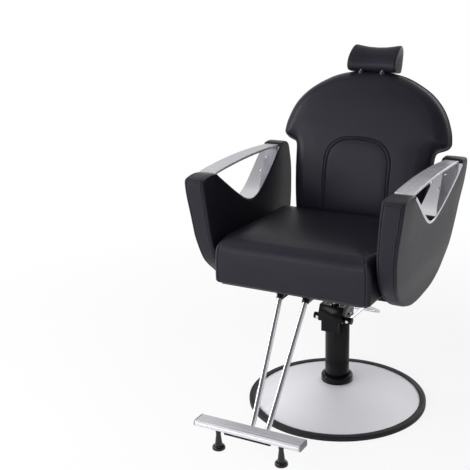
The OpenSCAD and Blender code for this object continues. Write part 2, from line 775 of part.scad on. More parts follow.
// Lifts a ring's points towards the front, the more the higher they lie
function risen(ring) = [
    for (p = ring)
        let (up = max(0, (p[2] - seat_low_z) / (seat_top_z - seat_low_z)))
        [p[0], p[1], p[2] + seat_rise * pow(up, 2) * (seat_rear - p[1]) / (seat_rear + seat_front_y)]
];
module seat_cushion() {
    color("#2b2b30") difference() {
        skin([
            for (row = seat_rows())
                risen(ring_at_z(rounded_ring(
                    -seat_w / 2 + row[1], seat_w / 2 - row[1],
                    -seat_front_y + row[1] * seat_front_share, seat_rear - row[1],
                    seat_corner_r + row[1] * 0.7, row[2], 5
                ), row[0]))
        ]);
        board_space(soft_clear);
        translate([0, 0, -board_t]) board_space(soft_clear);
    }
}

// Ring of the arm panel at a share t of its height, with its corners rounded
function arm_ring(t) =
    let (
        top = min(1, max(0, t - arm_round_share) / (1 - arm_round_share)),
        inset = arm_edge_r * (1 - sqrt(1 - pow(top, 2))) * 0.4,
        x0 = arm_x_in(t) + inset,
        x1 = arm_x_out(t) - inset,
        r = min(arm_edge_r, (x1 - x0) * 0.4)
    )
    ring_at_z(rounded_ring(x0, x1, arm_y_front(t), arm_y_rear(t), r, 0, 4), arm_low_z + arm_h * t);

// Upper edge of the cut-out: height over the place y, measured along the chair
function cut_span(y) = (y + cut_ahead) * (y < -cut_ahead ? cut_front_share : cut_rear_share);
function cut_z(y) = cut_low_z + cut_depth * (norm([cut_span(y), cut_round_r]) - cut_round_r)
    / (norm([cut_half_w, cut_round_r]) - cut_round_r);
cut_steps = 22;
cut_over = 1.08;
function cut_y(i) =
    let (share = cut_over * (2 * i / cut_steps - 1))
    -cut_ahead + cut_half_w * share / (share < 0 ? cut_front_share : cut_rear_share);
function cut_normal(y) = unit([cut_z(y - over) - cut_z(y + over), 2 * over]);
// Line parallel to the cut-out's edge, moved into the opening by a distance
function cut_line(into) = [
    for (i = [0 : cut_steps]) let (y = cut_y(i)) [y, cut_z(y)] + into * cut_normal(y)
];
module cut_shape(into) {
    line = cut_line(into);
    polygon(concat(line, [[line[cut_steps][0], cut_top_z + arm_h], [line[0][0], cut_top_z + arm_h]]));
}
// Slab between two distances from the panel's inner and outer faces
module arm_slab(from_out, low, high) {
    from_share = share_z(cut_low_z - 2 * lip_w);
    rows = concat([from_share], [for (t = arm_row_shares) if (t > from_share) t]);
    pts = concat(
        [for (t = rows) [(from_out ? arm_x_out(t) : arm_x_in(t)) + low, arm_low_z + arm_h * t]],
        [for (t = reversed(rows)) [arm_x_out(t) + high, arm_low_z + arm_h * t]]
    );
    translate([0, arm_rear, 0]) rotate([90, 0, 0]) linear_extrude(arm_len) polygon(pts);
}

module arm_panel() {
    reach = arm_inner + 3 * arm_thick;
    color("#26262b") difference() {
        skin([for (t = arm_row_shares) arm_ring(t)]);
        side_extrude(arm_inner - arm_lean, reach) cut_shape(0);
        for (y = cross_ys)
            cross_pin(arm_inner - arm_lean, arm_inner + arm_bolt_in, y, arm_bolt_z, bolt_d + 2 * bolt_clear);
    }
}
module arm_panel_left() {
    entry = cable_route[0];
    color("#26262b") difference() {
        mirror([1, 0, 0]) arm_panel();
        translate(entry - [0, entry_seat, 0]) rotate([-90, 0, 0])
            cylinder(h = 4 * cable_d, d = cable_d + 2 * soft_clear);
        at_hub() translate([0, 0, -arm_thick * spindle_share - over])
            cylinder(h = arm_thick, d = spindle_d + 2 * soft_clear);
    }
}
module arm_panel_right() {
    arm_panel();
}

// Band between two lines parallel to the cut-out's edge, ending under the armrest bar
module cut_band(from, to) {
    difference() {
        cut_shape(from);
        cut_shape(to);
        translate([-arm_len, bar_z]) square([2 * arm_len, arm_h]);
    }
}
module arm_trim() {
    reach = arm_inner + 3 * arm_thick;
    color("silver") {
        intersection() {
            arm_slab(false, trim_t, soft_clear + lip_t);
            side_extrude(arm_inner, reach) cut_band(0, trim_t);
        }
        intersection() {
            arm_slab(true, soft_clear, soft_clear + lip_t);
            side_extrude(arm_inner, reach) cut_band(-lip_w, trim_t);
        }
    }
}
module arm_trim_left() {
    mirror([1, 0, 0]) arm_trim();
}
module arm_trim_right() {
    arm_trim();
}

module armrest_bar() {
    len = bar_front + bar_rear;
    mid_y = (bar_rear - bar_front) / 2;
    arc_r = (pow(len / 2, 2) + pow(bar_rise, 2)) / (2 * bar_rise);
    mid_x = (arm_x_in(1) + arm_x_out(1)) / 2;
    color("silver") intersection() {
        side_extrude(mid_x - bar_front_w, mid_x + bar_front_w) difference() {
            translate([mid_y, bar_z + bar_t + bar_rise - arc_r]) circle(arc_r, $fn = 720);
            translate([mid_y, bar_z + bar_rise - arc_r]) circle(arc_r, $fn = 720);
        }
        translate([mid_x, 0, bar_z]) linear_extrude(bar_t + bar_rise + over) polygon([
            [-bar_front_w / 2, -bar_front], [bar_front_w / 2, -bar_front],
            [bar_rear_w / 2, bar_rear], [-bar_rear_w / 2, bar_rear]
        ]);
    }
}
module armrest_bar_left() {
    mirror([1, 0, 0]) armrest_bar();
}
module armrest_bar_right() {
    armrest_bar();
}

screw_head_d = 10;
screw_head_h = 2.5;
screw_place_shares = [-0.62, 0.62, 0.86];
module arm_screws() {
    color("silver") both_sides() difference() {
        for (share = screw_place_shares)
            let (
                y = -cut_ahead + share * cut_half_w, n = cut_normal(y), p = [y, cut_z(y)] + trim_t * n,
                x = (arm_x_in(share_z(p[1])) + arm_x_out(share_z(p[1]))) / 2
            )
            translate([x, p[0], p[1]]) rotate([-atan2(n[0], n[1]), 0, 0])
                cylinder(h = screw_head_h, d = screw_head_d);
        side_extrude(arm_inner, arm_inner + 3 * arm_thick) cut_band(-trim_t, trim_t);
    }
}

module arm_bolts() {
    span = frame_span();
    color("gray") both_sides() for (y = cross_ys) {
        cross_pin(span - rail_wall - bolt_head_h, span - rail_wall, y, arm_bolt_z, bolt_head_d);
        cross_pin(span - rail_wall, span + arm_bolt_in - bolt_head_h, y, arm_bolt_z, bolt_d);
    }
}

// Plate from the frame's rear tube down to the pivot, one on each side
module hinge_brackets() {
    top_w = rail_w;
    y0 = cross_ys[1];
    color("#26262a") both_sides() difference() {
        union() {
            side_extrude(bracket_x, bracket_x + hinge_t) polygon([
                [y0 - top_w / 2, rail_z], [y0 - top_w / 2, rail_z - hinge_pin_r],
                [pivot_y, pivot_z - hinge_pin_d], [pivot_y, pivot_z + hinge_pin_d],
                [rail_rear + hinge_t, rail_z + rail_h / 2],
                [rail_rear, rail_z + rail_h / 2], [rail_rear, rail_z]
            ]);
            cross_pin(bracket_x, bracket_x + hinge_t, pivot_y, pivot_z, 2 * hinge_pin_d + hinge_t);
        }
        cross_pin(bracket_x - over, bracket_x + hinge_t + over, pivot_y, pivot_z,
            hinge_pin_d + 2 * run_clear);
    }
}

module hinge_pins() {
    head = 3;
    x0 = hinge_x - head;
    x1 = bracket_x + hinge_t + head;
    color("silver") both_sides() {
        cross_pin(x0, x1, pivot_y, pivot_z, hinge_pin_d);
        cross_pin(x1 - head + soft_clear, x1 + head, pivot_y, pivot_z, hinge_pin_d + 2 * head);
    }
}

// Direction of a footrest stem, from the seat down
stem_dir = unit(stem_bend - stem_top);
module along_stem(from) {
    up = -stem_dir;
    translate(stem_top) rotate([0, acos(up[2]), atan2(up[1], up[0])]) translate([0, 0, from]) children();
}
socket_len = 30;
socket_wall = 3;
socket_plate_t = 5;
module footrest_socket() {
    block = 2 * (stem_r + socket_wall);
    color("#1c1c1f") both_sides() difference() {
        union() {
            along_stem(-socket_len / 2) cylinder(h = socket_len, d = block);
            translate([stem_top_half_w - block / 2, -stem_top_y - stem_r, board_z - socket_plate_t])
                cube([block, stem_top_y + stem_r - rail_front, socket_plate_t]);
            translate([stem_top_half_w - socket_wall, -stem_top_y, board_z - rail_h])
                cube([2 * socket_wall, stem_top_y - rail_front, rail_h]);
        }
        along_stem(-socket_len) cylinder(h = 2 * socket_len, d = stem_d + 2 * run_clear);
        translate([0, -2 * stem_top_y, board_z]) cube([2 * stem_top_half_w, 2 * stem_top_y, 2 * socket_len]);
    }
}

function stem_route() =
    let (back = stem_bend - stem_dir * 5 * stem_r)
    concat(
        [stem_top, (stem_top + back) / 2],
        [
            for (t = stem_round_shares)
                back * pow(1 - t, 2) + stem_elbow() * 2 * t * (1 - t) + stem_level() * pow(t, 2)
        ],
        [stem_foot]
    );
// Corner that the stem's bend is drawn to, and the point where its level foot begins
function stem_elbow() =
    stem_top + (stem_bend - stem_top) * (stem_top[2] - stem_low_z) / (stem_top[2] - stem_bend[2]);
function stem_level() = stem_elbow() + unit(stem_foot - stem_elbow()) * 3 * stem_r;
module footrest_stem() {
    color("silver") tube_along(stem_route(), stem_r, 16, [1, 0, 0]);
}
module footrest_stem_left() {
    mirror([1, 0, 0]) footrest_stem();
}
module footrest_stem_right() {
    footrest_stem();
}

module footrest_plate() {
    low = stem_low_z + stem_r + run_clear;
    color("#26262a") translate([-tread_plate_w / 2, -tread_front + tread_t / 2, low])
        cube([tread_plate_w, tread_depth - tread_t / 2, tread_low_z - low]);
}

// Extruded tread: flat ribbed top, round front nose with a groove under it
tread_ribs = 6;
rib_d = 3;
module tread_profile() {
    nose_r = tread_t / 2;
    difference() {
        union() {
            translate([-tread_front + nose_r, tread_low_z]) square([tread_depth - nose_r, tread_t]);
            translate([-tread_front + nose_r, tread_low_z + nose_r]) circle(nose_r, $fn = round_fn);
        }
        for (i = [0 : tread_ribs - 1])
            translate([-tread_front + tread_t + (tread_depth - tread_t - rib_d) * i / (tread_ribs - 1),
                tread_low_z + tread_t]) circle(d = rib_d, $fn = 16);
        translate([-tread_front + nose_r, tread_low_z + nose_r * 0.4])
            circle(d = rib_d, $fn = 16);
        translate([-tread_front - over, tread_low_z + nose_r - rib_d / 2]) square([rib_d, rib_d / 2]);
    }
}
module footrest_tread() {
    color("silver") difference() {
        side_extrude(-tread_w / 2 + cap_t, tread_w / 2 - cap_t) tread_profile();
        at_each([-foot_half_w, foot_half_w], [-tread_front + tread_depth / 2], tread_low_z - over)
            cylinder(h = tread_t / 2, d = bolt_d + 2 * bolt_clear);
    }
}

module tread_end_caps() {
    nose_r = tread_t / 2;
    color("#8d8d92") both_sides() side_extrude(tread_w / 2 - cap_t, tread_w / 2) {
        translate([-tread_front + nose_r, tread_low_z]) square([tread_depth - nose_r, tread_t]);
        translate([-tread_front + nose_r, tread_low_z + nose_r]) circle(nose_r, $fn = round_fn);
    }
}

module footrest_feet() {
    disc_d = 38;
    disc_h = 14;
    neck_d = 14;
    flare_d = 22;
    edge = 2;
    color("#1c1c1f") at_each([-foot_half_w, foot_half_w], [-tread_front + tread_depth / 2], foot_low_z) {
        rotate_extrude() polygon([
            [0, 0], [disc_d / 2 - edge, 0], [disc_d / 2, edge], [disc_d / 2, disc_h * 0.5],
            [disc_d / 2 - edge, disc_h * 0.8],
            [flare_d / 2, disc_h], [neck_d / 2, (tread_low_z - foot_low_z) * 0.7],
            [neck_d / 2 + edge, tread_low_z - foot_low_z], [0, tread_low_z - foot_low_z]
        ]);
        cylinder(h = tread_low_z - foot_low_z + tread_t / 3, d = bolt_d);
    }
}

cable_end = cable_route[len(cable_route) - 1];
module cable_stop() {
    t = 3;
    depth = 6;
    post_w = 14;
    color("#26262a") difference() {
        union() {
            translate([cable_end[0] - post_w / 2, cable_end[1] - depth, cable_end[2]])
                cube([post_w, 2 * depth, rail_z - cable_end[2]]);
            translate([cable_end[0] - post_w / 2, rail_rear - rail_w, rail_z - t])
                cube([post_w, cable_end[1] + depth - rail_rear + rail_w, t]);
        }
        translate([cable_end[0], cable_end[1], cable_end[2] - over])
            cylinder(h = t + over, d = cable_d * 0.4);
    }
}

module release_cable() {
    color("#141416") tube_along(smooth_route(cable_route, 4), cable_d / 2, 8, [1, 0.2, 0.3]);
}

// Flat steel arm from the pivot up into the back, with its tail below the pivot
module hinge_arm() {
    foot = [shoulder_y, shoulder_z] - (back_down - over) * [sin(back_lean), cos(back_lean)];
    head = foot + hinge_up * [sin(back_lean), cos(back_lean)];
    half = arm_bar_w / 2;
    c = [cos(back_lean), -sin(back_lean)];
    rear = (foam_rear - soft_clear) * c;
    front = rear - arm_bar_w * c;
    color("#55555a") difference() {
        union() {
            side_extrude(hinge_x, hinge_x + hinge_t) polygon([
                [pivot_y - half * 0.6, pivot_z - half * 0.5], foot + front, head + front, head + rear,
                foot + rear, [pivot_y + half * 0.6, pivot_z - half * 0.5]
            ]);
            cross_pin(hinge_x, hinge_x + hinge_t, pivot_y, pivot_z, arm_bar_w);
        }
        cross_pin(hinge_x - over, hinge_x + hinge_t + over, pivot_y, pivot_z, hinge_pin_d + 2 * run_clear);
    }
}
module hinge_arm_left() {
    mirror([1, 0, 0]) hinge_arm();
}
module hinge_arm_right() {
    hinge_arm();
}

// Tube between the two hinge arms, with the lug that the gas spring pushes on
module hinge_crossbar() {
    bar_d = 20;
    bar_r = 26;
    by = pivot_y + bar_r * sin(lug_angle);
    bz = pivot_z + bar_r * cos(lug_angle);
    lug_t = 5;
    color("#26262a") {
        cross_pin(-hinge_x, hinge_x, by, bz, bar_d);
        for (x = [-gas_x - eye_d / 2 - lug_t, -gas_x + eye_d / 2])
            side_extrude(x, x + lug_t) union() {
                translate([lug_y, lug_z]) circle(d = eye_d);
                polygon([
                    [lug_y - eye_d / 2, lug_z], [by - bar_d / 2, bz],
                    [by + bar_d / 2, bz], [lug_y + eye_d / 2, lug_z]
                ]);
            }
        cross_pin(-gas_x - eye_d / 2 - over, -gas_x + eye_d / 2 + over, lug_y, lug_z, lug_pin_d);
    }
}

function back_half_w(t) =
    t < 0.5 ? waist_half_w * at(back_width_shares, t) / waist_share
    : shoulder_half_w * at(back_width_shares, t);
function back_s(t) = -back_down + back_len * t;
// Half width of the arch at s, held at a least width where the arch has closed
function arch_half(s) =
    let (up = (s - (arch_up - arch_curve_h)) / arch_curve_h)
    arch_half_w * (up <= 0 ? 1 : max(0.3, pow(max(0, 1 - pow(up, arch_power)), 1 / arch_power)));
// Distance of a point of the back's face from the arch's line
function arch_gap(x, s) =
    let (up = max(0, s - (arch_up - arch_curve_h)) / arch_curve_h)
    abs(pow(pow(abs(x) / arch_half_w, arch_power) + pow(up, arch_power), 1 / arch_power) - 1) * arch_curve_h;
function seam_cut(x, s) =
    let (d = abs(arch_gap(x, s) - arch_seam / 2))
    seam_depth * max(0, 1 - d / (arch_seam * 0.4));
// Foam in front of the back's own plane: crowned across, rolled over at the outline, cut at the seams
function foam_n(x, s, w, thick) =
    let (
        full = thick * (1 - foam_sag * pow(abs(x) / shoulder_half_w, foam_power)),
        edge = foam_edge_share * full,
        q = max(0, 1 - (w - abs(x)) / min(foam_roll, w))
    )
    edge + (full - edge) * sqrt(max(0, 1 - q * q)) - seam_cut(x, s);
function back_cols(s, w) =
    let (
        a = min(arch_half(s), w * 0.5), g = min(arch_seam, a * 0.4), start = a + g,
        roll = min(foam_roll, (w - start) * 0.8)
    )
    concat(
        [0, a * 0.55, a - g, a - g / 2, a, a + g / 2, start, (start + w - roll) / 2],
        [for (e = roll_col_shares) w - roll * e]
    );
function back_ring(t) =
    let (
        s = back_s(t), w = back_half_w(t), thick = foam_t * at(back_foam_shares, t),
        cols = back_cols(s, w), last = len(cols) - 1
    )
    concat(
        [for (i = [last : -1 : 1]) [-cols[i], -foam_n(cols[i], s, w, thick), s]],
        [for (i = [0 : last]) [cols[i], -foam_n(cols[i], s, w, thick), s]],
        [[w, foam_rear, s], [0, foam_rear, s], [-w, foam_rear, s]]
    );

module back_cushion() {
    color("#2b2b30") difference() {
        on_back() skin([for (t = back_row_shares) back_ring(t)]);
        both_sides() hinge_pocket();
        on_back() both_sides() translate([post_half_w, -post_n, back_up - post_in - soft_clear])
            cylinder(h = post_in + 4 * over, d = sleeve_d + 2 * soft_clear, $fn = round_fn);
    }
}
// Slot that a hinge arm stands in, open at the bottom
module hinge_pocket() {
    depth = arm_bar_w + 3 * soft_clear;
    len = hinge_up + over + 2 * soft_clear;
    on_back() translate([hinge_x - soft_clear, foam_rear - depth, -back_down - over])
        cube([hinge_t + 2 * soft_clear, depth + over, len + over]);
}

module back_panel() {
    rows = [for (t = back_row_shares) t];
    left = [for (t = rows) [-back_half_w(t) + panel_in, back_s(t)]];
    right = [for (t = reversed(rows)) [back_half_w(t) - panel_in, back_s(t)]];
    color("#232327") on_back() translate([0, foam_rear + rear_panel_t, 0]) rotate([90, 0, 0])
        linear_extrude(rear_panel_t) polygon(concat(left, right));
}

// Plastic sleeve in the back for each headrest post, with a collar on the back's top
module post_sleeves() {
    color("#1c1c1f") on_back() both_sides() translate([post_half_w, -post_n, 0]) difference() {
        union() {
            translate([0, 0, back_up - post_in]) cylinder(h = post_in, d = sleeve_d);
            translate([0, 0, back_up]) cylinder(h = sleeve_collar_h, d = sleeve_collar_d);
        }
        translate([0, 0, back_up - post_in - over])
            cylinder(h = post_in + sleeve_collar_h + 2 * over, d = post_d + 2 * run_clear);
    }
}

head_low = back_up + head_gap;
module headrest_posts() {
    stay = 10;
    color("silver") on_back() both_sides() translate([post_half_w, -post_n, back_up - post_in + stay])
        cylinder(h = post_in - stay + head_gap + post_up, d = post_d);
}

module headrest_pad() {
    color("#26262b") difference() {
        on_back() skin([
            for (row = head_row_shares) [
                for (p = head_profile_shares)
                    let (
                        q = 1 - row[1],
                        y = (p[0] - 0.5) * (1 - q * 0.8) + 0.5,
                        z = (p[1] - 0.12) * (1 - q) + 0.12
                    )
                    [row[0] * head_w / 2, head_depth * (1 - y) - head_front, head_low + head_h * z]
            ]
        ]);
        on_back() both_sides() translate([post_half_w, -post_n, head_low - 2 * over])
            cylinder(h = post_up + 2 * over + soft_clear, d = post_d + 2 * soft_clear, $fn = round_fn);
    }
}

module at_hub() {
    translate([-hub_x, -hub_ahead, hub_z]) rotate([0, -90, 0]) children();
}
module lever_hub() {
    recess_d = 12;
    recess = 3;
    chamfer = 2;
    color("silver") at_hub() difference() {
        union() {
            rotate_extrude() polygon([
                [0, 0], [hub_d / 2, 0], [hub_d / 2, hub_t - chamfer],
                [hub_d / 2 - chamfer, hub_t], [0, hub_t]
            ]);
            translate([0, 0, -arm_thick * spindle_share])
                cylinder(h = arm_thick * spindle_share + over, d = spindle_d);
        }
        translate([0, 0, hub_t - recess]) cylinder(h = recess + over, d = recess_d);
    }
}
module lever_arm() {
    color("silver") translate([-hub_x - hub_t / 2, -hub_ahead, hub_z]) rotate([-handle_lean, 0, 0])
        translate([0, 0, -handle_len + tip_len])
            cylinder(h = handle_len - tip_len - hub_d / 2 - run_clear, d = handle_d);
}
module lever_tip() {
    color("black") translate([-hub_x - hub_t / 2, -hub_ahead, hub_z]) rotate([-handle_lean, 0, 0])
        translate([0, 0, -handle_len]) cylinder(h = tip_len - run_clear, d = handle_d + tip_over);
}

// Frame of the gas spring: local Y runs from its front pin to its rear pin
module on_gas() {
    translate([-gas_x, gas_front_y, gas_front_z]) rotate([gas_tilt, 0, 0]) children();
}
// Fork under the mount plate that holds the gas spring's front pin
module gas_anchor() {
    plate = 4;
    gap = tang_w / 2 + bracket_gap;
    half = eye_d / 2;
    color("#26262a") {
        for (x = [-gas_x - gap - plate, -gas_x + gap]) side_extrude(x, x + plate) union() {
            translate([gas_front_y, gas_front_z]) circle(half);
            polygon([
                [gas_front_y - half * 0.95, gas_front_z], [gas_front_y - half * 0.95, mount_z],
                [gas_front_y + half * 0.95, mount_z], [gas_front_y + half * 0.95, gas_front_z]
            ]);
        }
        cross_pin(-gas_x - gap - over, -gas_x + gap + over, gas_front_y, gas_front_z, lug_pin_d);
    }
}
module gas_spring_cylinder() {
    color("#1c1c1f") on_gas() difference() {
        union() {
            rotate([-90, 0, 0]) translate([0, 0, gas_neck]) cylinder(h = gas_body_len, d = gas_d);
            rotate([-90, 0, 0]) cylinder(h = gas_neck + over, d = tang_w * 0.8);
            cross_pin(-tang_w / 2, tang_w / 2, 0, 0, eye_d);
        }
        rotate([-90, 0, 0]) translate([0, 0, 2 * gas_neck])
            cylinder(h = gas_body_len, d = gas_rod_d + 2 * run_clear);
        cross_pin(-tang_w, tang_w, 0, 0, lug_pin_d + 2 * run_clear);
    }
}
module gas_spring_rod() {
    start = gas_neck + gas_body_len - gas_tail;
    block = eye_d * 0.9;
    color("silver") on_gas() difference() {
        union() {
            rotate([-90, 0, 0]) translate([0, 0, start])
                cylinder(h = gas_len - start - eye_d / 4, d = gas_rod_d);
            cross_pin(-tang_w / 2, tang_w / 2, gas_len, 0, eye_d);
            rotate([-90, 0, 0]) translate([0, 0, gas_len - 1.6 * eye_d]) cylinder(h = eye_d, d = block);
        }
        cross_pin(-tang_w, tang_w, gas_len, 0, eye_bore_d);
    }
}

base_plate();
base_cover();
base_trim();
base_bolts();
pump_body();
pump_tube();
pump_collar();
ram_seal();
yoke_pin();
pump_yoke();
foot_lever();
pump_plunger();
ram_rod();
mount_plate();
mount_bolts();
frame_rails();
frame_crossbars();
seat_board();
seat_cushion();
arm_panel_left();
arm_panel_right();
arm_trim_left();
arm_trim_right();
armrest_bar_left();
armrest_bar_right();
arm_screws();
arm_bolts();
hinge_brackets();
hinge_pins();
footrest_socket();
footrest_stem_left();
footrest_stem_right();
footrest_plate();
footrest_tread();
tread_end_caps();
footrest_feet();
cable_stop();
release_cable();
hinge_arm_left();
hinge_arm_right();
hinge_crossbar();
back_panel();
back_cushion();
post_sleeves();
headrest_posts();
headrest_pad();
gas_anchor();
lever_hub();
lever_arm();
lever_tip();
gas_spring_cylinder();
gas_spring_rod();
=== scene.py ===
import json
import math
from functools import partialmethod

import bmesh
import bpy
import numpy as np
from mathutils import Matrix, Vector
from mathutils.kdtree import KDTree

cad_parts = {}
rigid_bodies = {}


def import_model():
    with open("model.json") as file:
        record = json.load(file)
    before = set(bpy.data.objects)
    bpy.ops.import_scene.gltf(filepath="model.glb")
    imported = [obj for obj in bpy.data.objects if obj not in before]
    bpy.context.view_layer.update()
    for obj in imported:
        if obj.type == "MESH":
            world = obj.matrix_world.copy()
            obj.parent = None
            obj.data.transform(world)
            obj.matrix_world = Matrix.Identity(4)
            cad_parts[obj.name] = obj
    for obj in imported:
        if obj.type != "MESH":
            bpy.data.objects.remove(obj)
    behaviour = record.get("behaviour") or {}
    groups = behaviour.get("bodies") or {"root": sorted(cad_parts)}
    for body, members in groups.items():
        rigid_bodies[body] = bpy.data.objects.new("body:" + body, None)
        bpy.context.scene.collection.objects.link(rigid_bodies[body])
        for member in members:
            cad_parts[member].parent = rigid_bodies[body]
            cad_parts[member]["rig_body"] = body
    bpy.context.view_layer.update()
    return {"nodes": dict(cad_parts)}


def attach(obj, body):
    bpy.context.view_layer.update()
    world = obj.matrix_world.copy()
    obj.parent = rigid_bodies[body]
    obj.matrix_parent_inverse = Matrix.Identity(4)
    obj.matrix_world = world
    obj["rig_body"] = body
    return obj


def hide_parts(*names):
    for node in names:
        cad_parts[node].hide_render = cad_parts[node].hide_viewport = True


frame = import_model()

MM = 0.001
QUARTER = math.pi / 2
HANDS = ((-1, "left"), (1, "right"))


def in_scene(name, data):
    """A new object with this data, in the scene."""
    thing = bpy.data.objects.new(name, data)
    bpy.context.scene.collection.objects.link(thing)
    return thing


def stand(thing, place, turn):
    """Puts a camera or a lamp at a place, turned by a quaternion."""
    thing.location = place
    thing.rotation_mode = "QUATERNION"
    thing.rotation_quaternion = turn


# ---- camera

CAMERA_PLACE = (1.16895, -2.72081, 1.50796)
CAMERA_RIGHT = (0.8726, 0.4878, -0.0245)
CAMERA_UP = (-0.1257, 0.2727, 0.9539)
CAMERA_BACK = (0.4719, -0.8293, 0.2993)
CAMERA_LENS = 73.93
CAMERA_SENSOR = 36


def make_camera():
    data = bpy.data.cameras.new("camera")
    data.lens = CAMERA_LENS
    data.sensor_width = CAMERA_SENSOR
    camera = in_scene("camera", data)
    axes = Matrix((CAMERA_RIGHT, CAMERA_UP, CAMERA_BACK)).transposed()
    stand(camera, CAMERA_PLACE, axes.to_quaternion())
    bpy.context.scene.camera = camera


# ---- materials

def add_node(tree, kind, settings=None, inputs=None):
    """A new node: first its settings, then the values or links of its sockets."""
    node = tree.nodes.new(kind)
    for name, value in (settings or {}).items():
        setattr(node, name, value)
    for key, value in (inputs or {}).items():
        if isinstance(value, bpy.types.NodeSocket):
            tree.links.new(value, node.inputs[key])
        else:
            node.inputs[key].default_value = value
    return node


class Value:
    """A socket that takes part in arithmetic."""

    def __init__(self, finish, socket):
        self.finish = finish
        self.socket = socket

    def math(self, operation, *others):
        return self.finish.math(operation, self, *others)

    def __rsub__(self, other):
        return self.finish.math("SUBTRACT", other, self)

    __add__ = __radd__ = partialmethod(math, "ADD")
    __mul__ = __rmul__ = partialmethod(math, "MULTIPLY")
    __sub__ = partialmethod(math, "SUBTRACT")
    __truediv__ = partialmethod(math, "DIVIDE")
    __pow__ = partialmethod(math, "POWER")


class Finish:
    """The nodes of one material, or of the world."""

    def __init__(self, name, kind="Material"):
        library = bpy.data.materials if kind == "Material" else bpy.data.worlds
        self.owner = library.new(name)
        self.owner.use_nodes = True
        self.tree = self.owner.node_tree
        self.tree.nodes.clear()
        self.end = self.tree.nodes.new("ShaderNodeOutput" + kind)

    def add(self, kind, settings=None, inputs=None, output=0):
        plain = {key: value.socket if isinstance(value, Value) else value
                 for key, value in (inputs or {}).items()}
        return Value(self, add_node(self.tree, "ShaderNode" + kind, settings, plain).outputs[output])

    def math(self, operation, *values):
        return self.add("Math", {"operation": operation}, dict(enumerate(values)))

    def axis(self, name, kind="Object"):
        place = self.add("TexCoord", output=kind)
        return self.add("SeparateXYZ", inputs={0: place}, output=name)

    def ray(self, kind):
        return self.add("LightPath", output=f"Is {kind} Ray")

    def texture(self, kind, settings=None, stretch=None, output=0, **inputs):
        """A texture in object coordinates, scaled by the stretch along each axis."""
        place = self.add("TexCoord", output="Object")
        if stretch:
            place = self.add("Mapping", inputs={"Vector": place, "Scale": stretch})
        return self.add("Tex" + kind, settings, {"Vector": place, **inputs}, output)

    def noise(self, scale, detail=3, roughness=0.55, stretch=None):
        return self.texture("Noise", stretch=stretch, Scale=scale, Detail=detail, Roughness=roughness)

    def mix(self, share, first, second):
        return self.add("Mix", {"data_type": "RGBA"}, {0: share, 6: first, 7: second}, output=2)

    def bump(self, height, distance, strength):
        return self.add("Bump", inputs={
            "Height": height, "Distance": distance, "Strength": strength})

    def show(self, shader):
        self.tree.links.new(shader.socket, self.end.inputs["Surface"])

    def show_mix(self, share, first, second):
        self.show(self.add("MixShader", inputs={0: share, 1: first, 2: second}))

    def surface(self, slot, **inputs):
        """Closes the material and gives it with the slot of the pieces that have it."""
        named = {key.replace("_", " "): value for key, value in inputs.items()}
        self.show(self.add("BsdfPrincipled", inputs=named))
        return self.owner, slot


def rgb(*levels):
    """A picture's colour levels from 0 to 255 as the linear colour that shows them."""
    return (*[c / 12.92 if c <= 0.04045 else ((c + 0.055) / 1.055) ** 2.4
              for c in (v / 255 for v in levels)], 1)


def upholstery_leather():
    f = Finish("upholstery_leather")
    cells = f.texture("Voronoi", {"feature": "DISTANCE_TO_EDGE"}, Scale=620.0, Randomness=1.0)
    creases = f.texture("Voronoi", {"feature": "SMOOTH_F1"}, Scale=260.0, Randomness=1.0, Smoothness=0.6)
    grain = (cells * 5).math("MINIMUM", 1) * 0.6 + creases * 0.4
    drift = f.noise(6.0, 4)
    wear = f.noise(38.0, 3)
    colour = f.mix(drift, rgb(21, 19, 27), rgb(28, 26, 34))
    return f.surface(
        "leather", Base_Color=f.mix(grain * 0.5, colour, rgb(34, 33, 41)),
        Roughness=0.30 + wear * 0.08 + drift * 0.06, Specular_IOR_Level=0.20,
        Normal=f.bump(grain + wear * 0.5, 0.00016, 0.55))


def seam_thread():
    f = Finish("seam_thread")
    twist = f.texture("Wave", {"bands_direction": "DIAGONAL"}, Scale=900.0, Distortion=0.4)
    return f.surface(
        "leather", Base_Color=f.mix(twist, rgb(46, 46, 51), rgb(70, 70, 76)),
        Roughness=0.6 + twist * 0.1, Normal=f.bump(twist, 0.0001, 0.6))


def zinc_steel():
    f = Finish("zinc_steel")
    patches = f.texture("Voronoi", output="Color", Scale=240.0)
    haze = f.noise(30.0, 4)
    return f.surface(
        "steel", Base_Color=f.mix(haze, rgb(150, 152, 155), rgb(178, 179, 182)),
        Metallic=1.0, Roughness=0.34 + haze * 0.12, Normal=f.bump(patches, 0.00003, 0.3))


def plywood():
    f = Finish("plywood")
    wood = f.noise(30.0, 5, stretch=(1, 12, 1))
    plies = f.texture("Wave", {"bands_direction": "Z"}, Scale=180.0, Distortion=0.3)
    return f.surface(
        "wood", Base_Color=f.mix(wood * 0.7 + plies * 0.3, rgb(40, 36, 34), rgb(54, 48, 44)),
        Roughness=0.6 + wood * 0.15, Normal=f.bump(wood, 0.0002, 0.4))


def hazed(name, slot, low, high, haze, grain, roughness, shares, relief, **more):
    """A finish between two colours by a wide noise, with the relief of a fine one.

    haze and grain are the noises' settings, shares what each adds to the roughness, relief the
    bump's distance and strength.
    """
    f = Finish(name)
    noises = f.noise(*haze), f.noise(*grain)
    rough = sum((noise * share for noise, share in zip(noises, shares) if share), roughness)
    return f.surface(slot, Base_Color=f.mix(noises[0], rgb(*low), rgb(*high)), Roughness=rough,
                     Normal=f.bump(noises[1], *relief), **more)


def chrome(name, roughness):
    return hazed(name, "chrome", (212, 212, 216), (224, 224, 228), (14.0, 4), (40.0, 2),
                 roughness, (0.05, 0), (0.00002, 0.2), Metallic=1.0)


def plastic(name, slot, low, high, roughness):
    return hazed(name, slot, low, high, (18.0, 3), (1100.0, 3), roughness, (0.1, 0), (0.00006, 0.5))


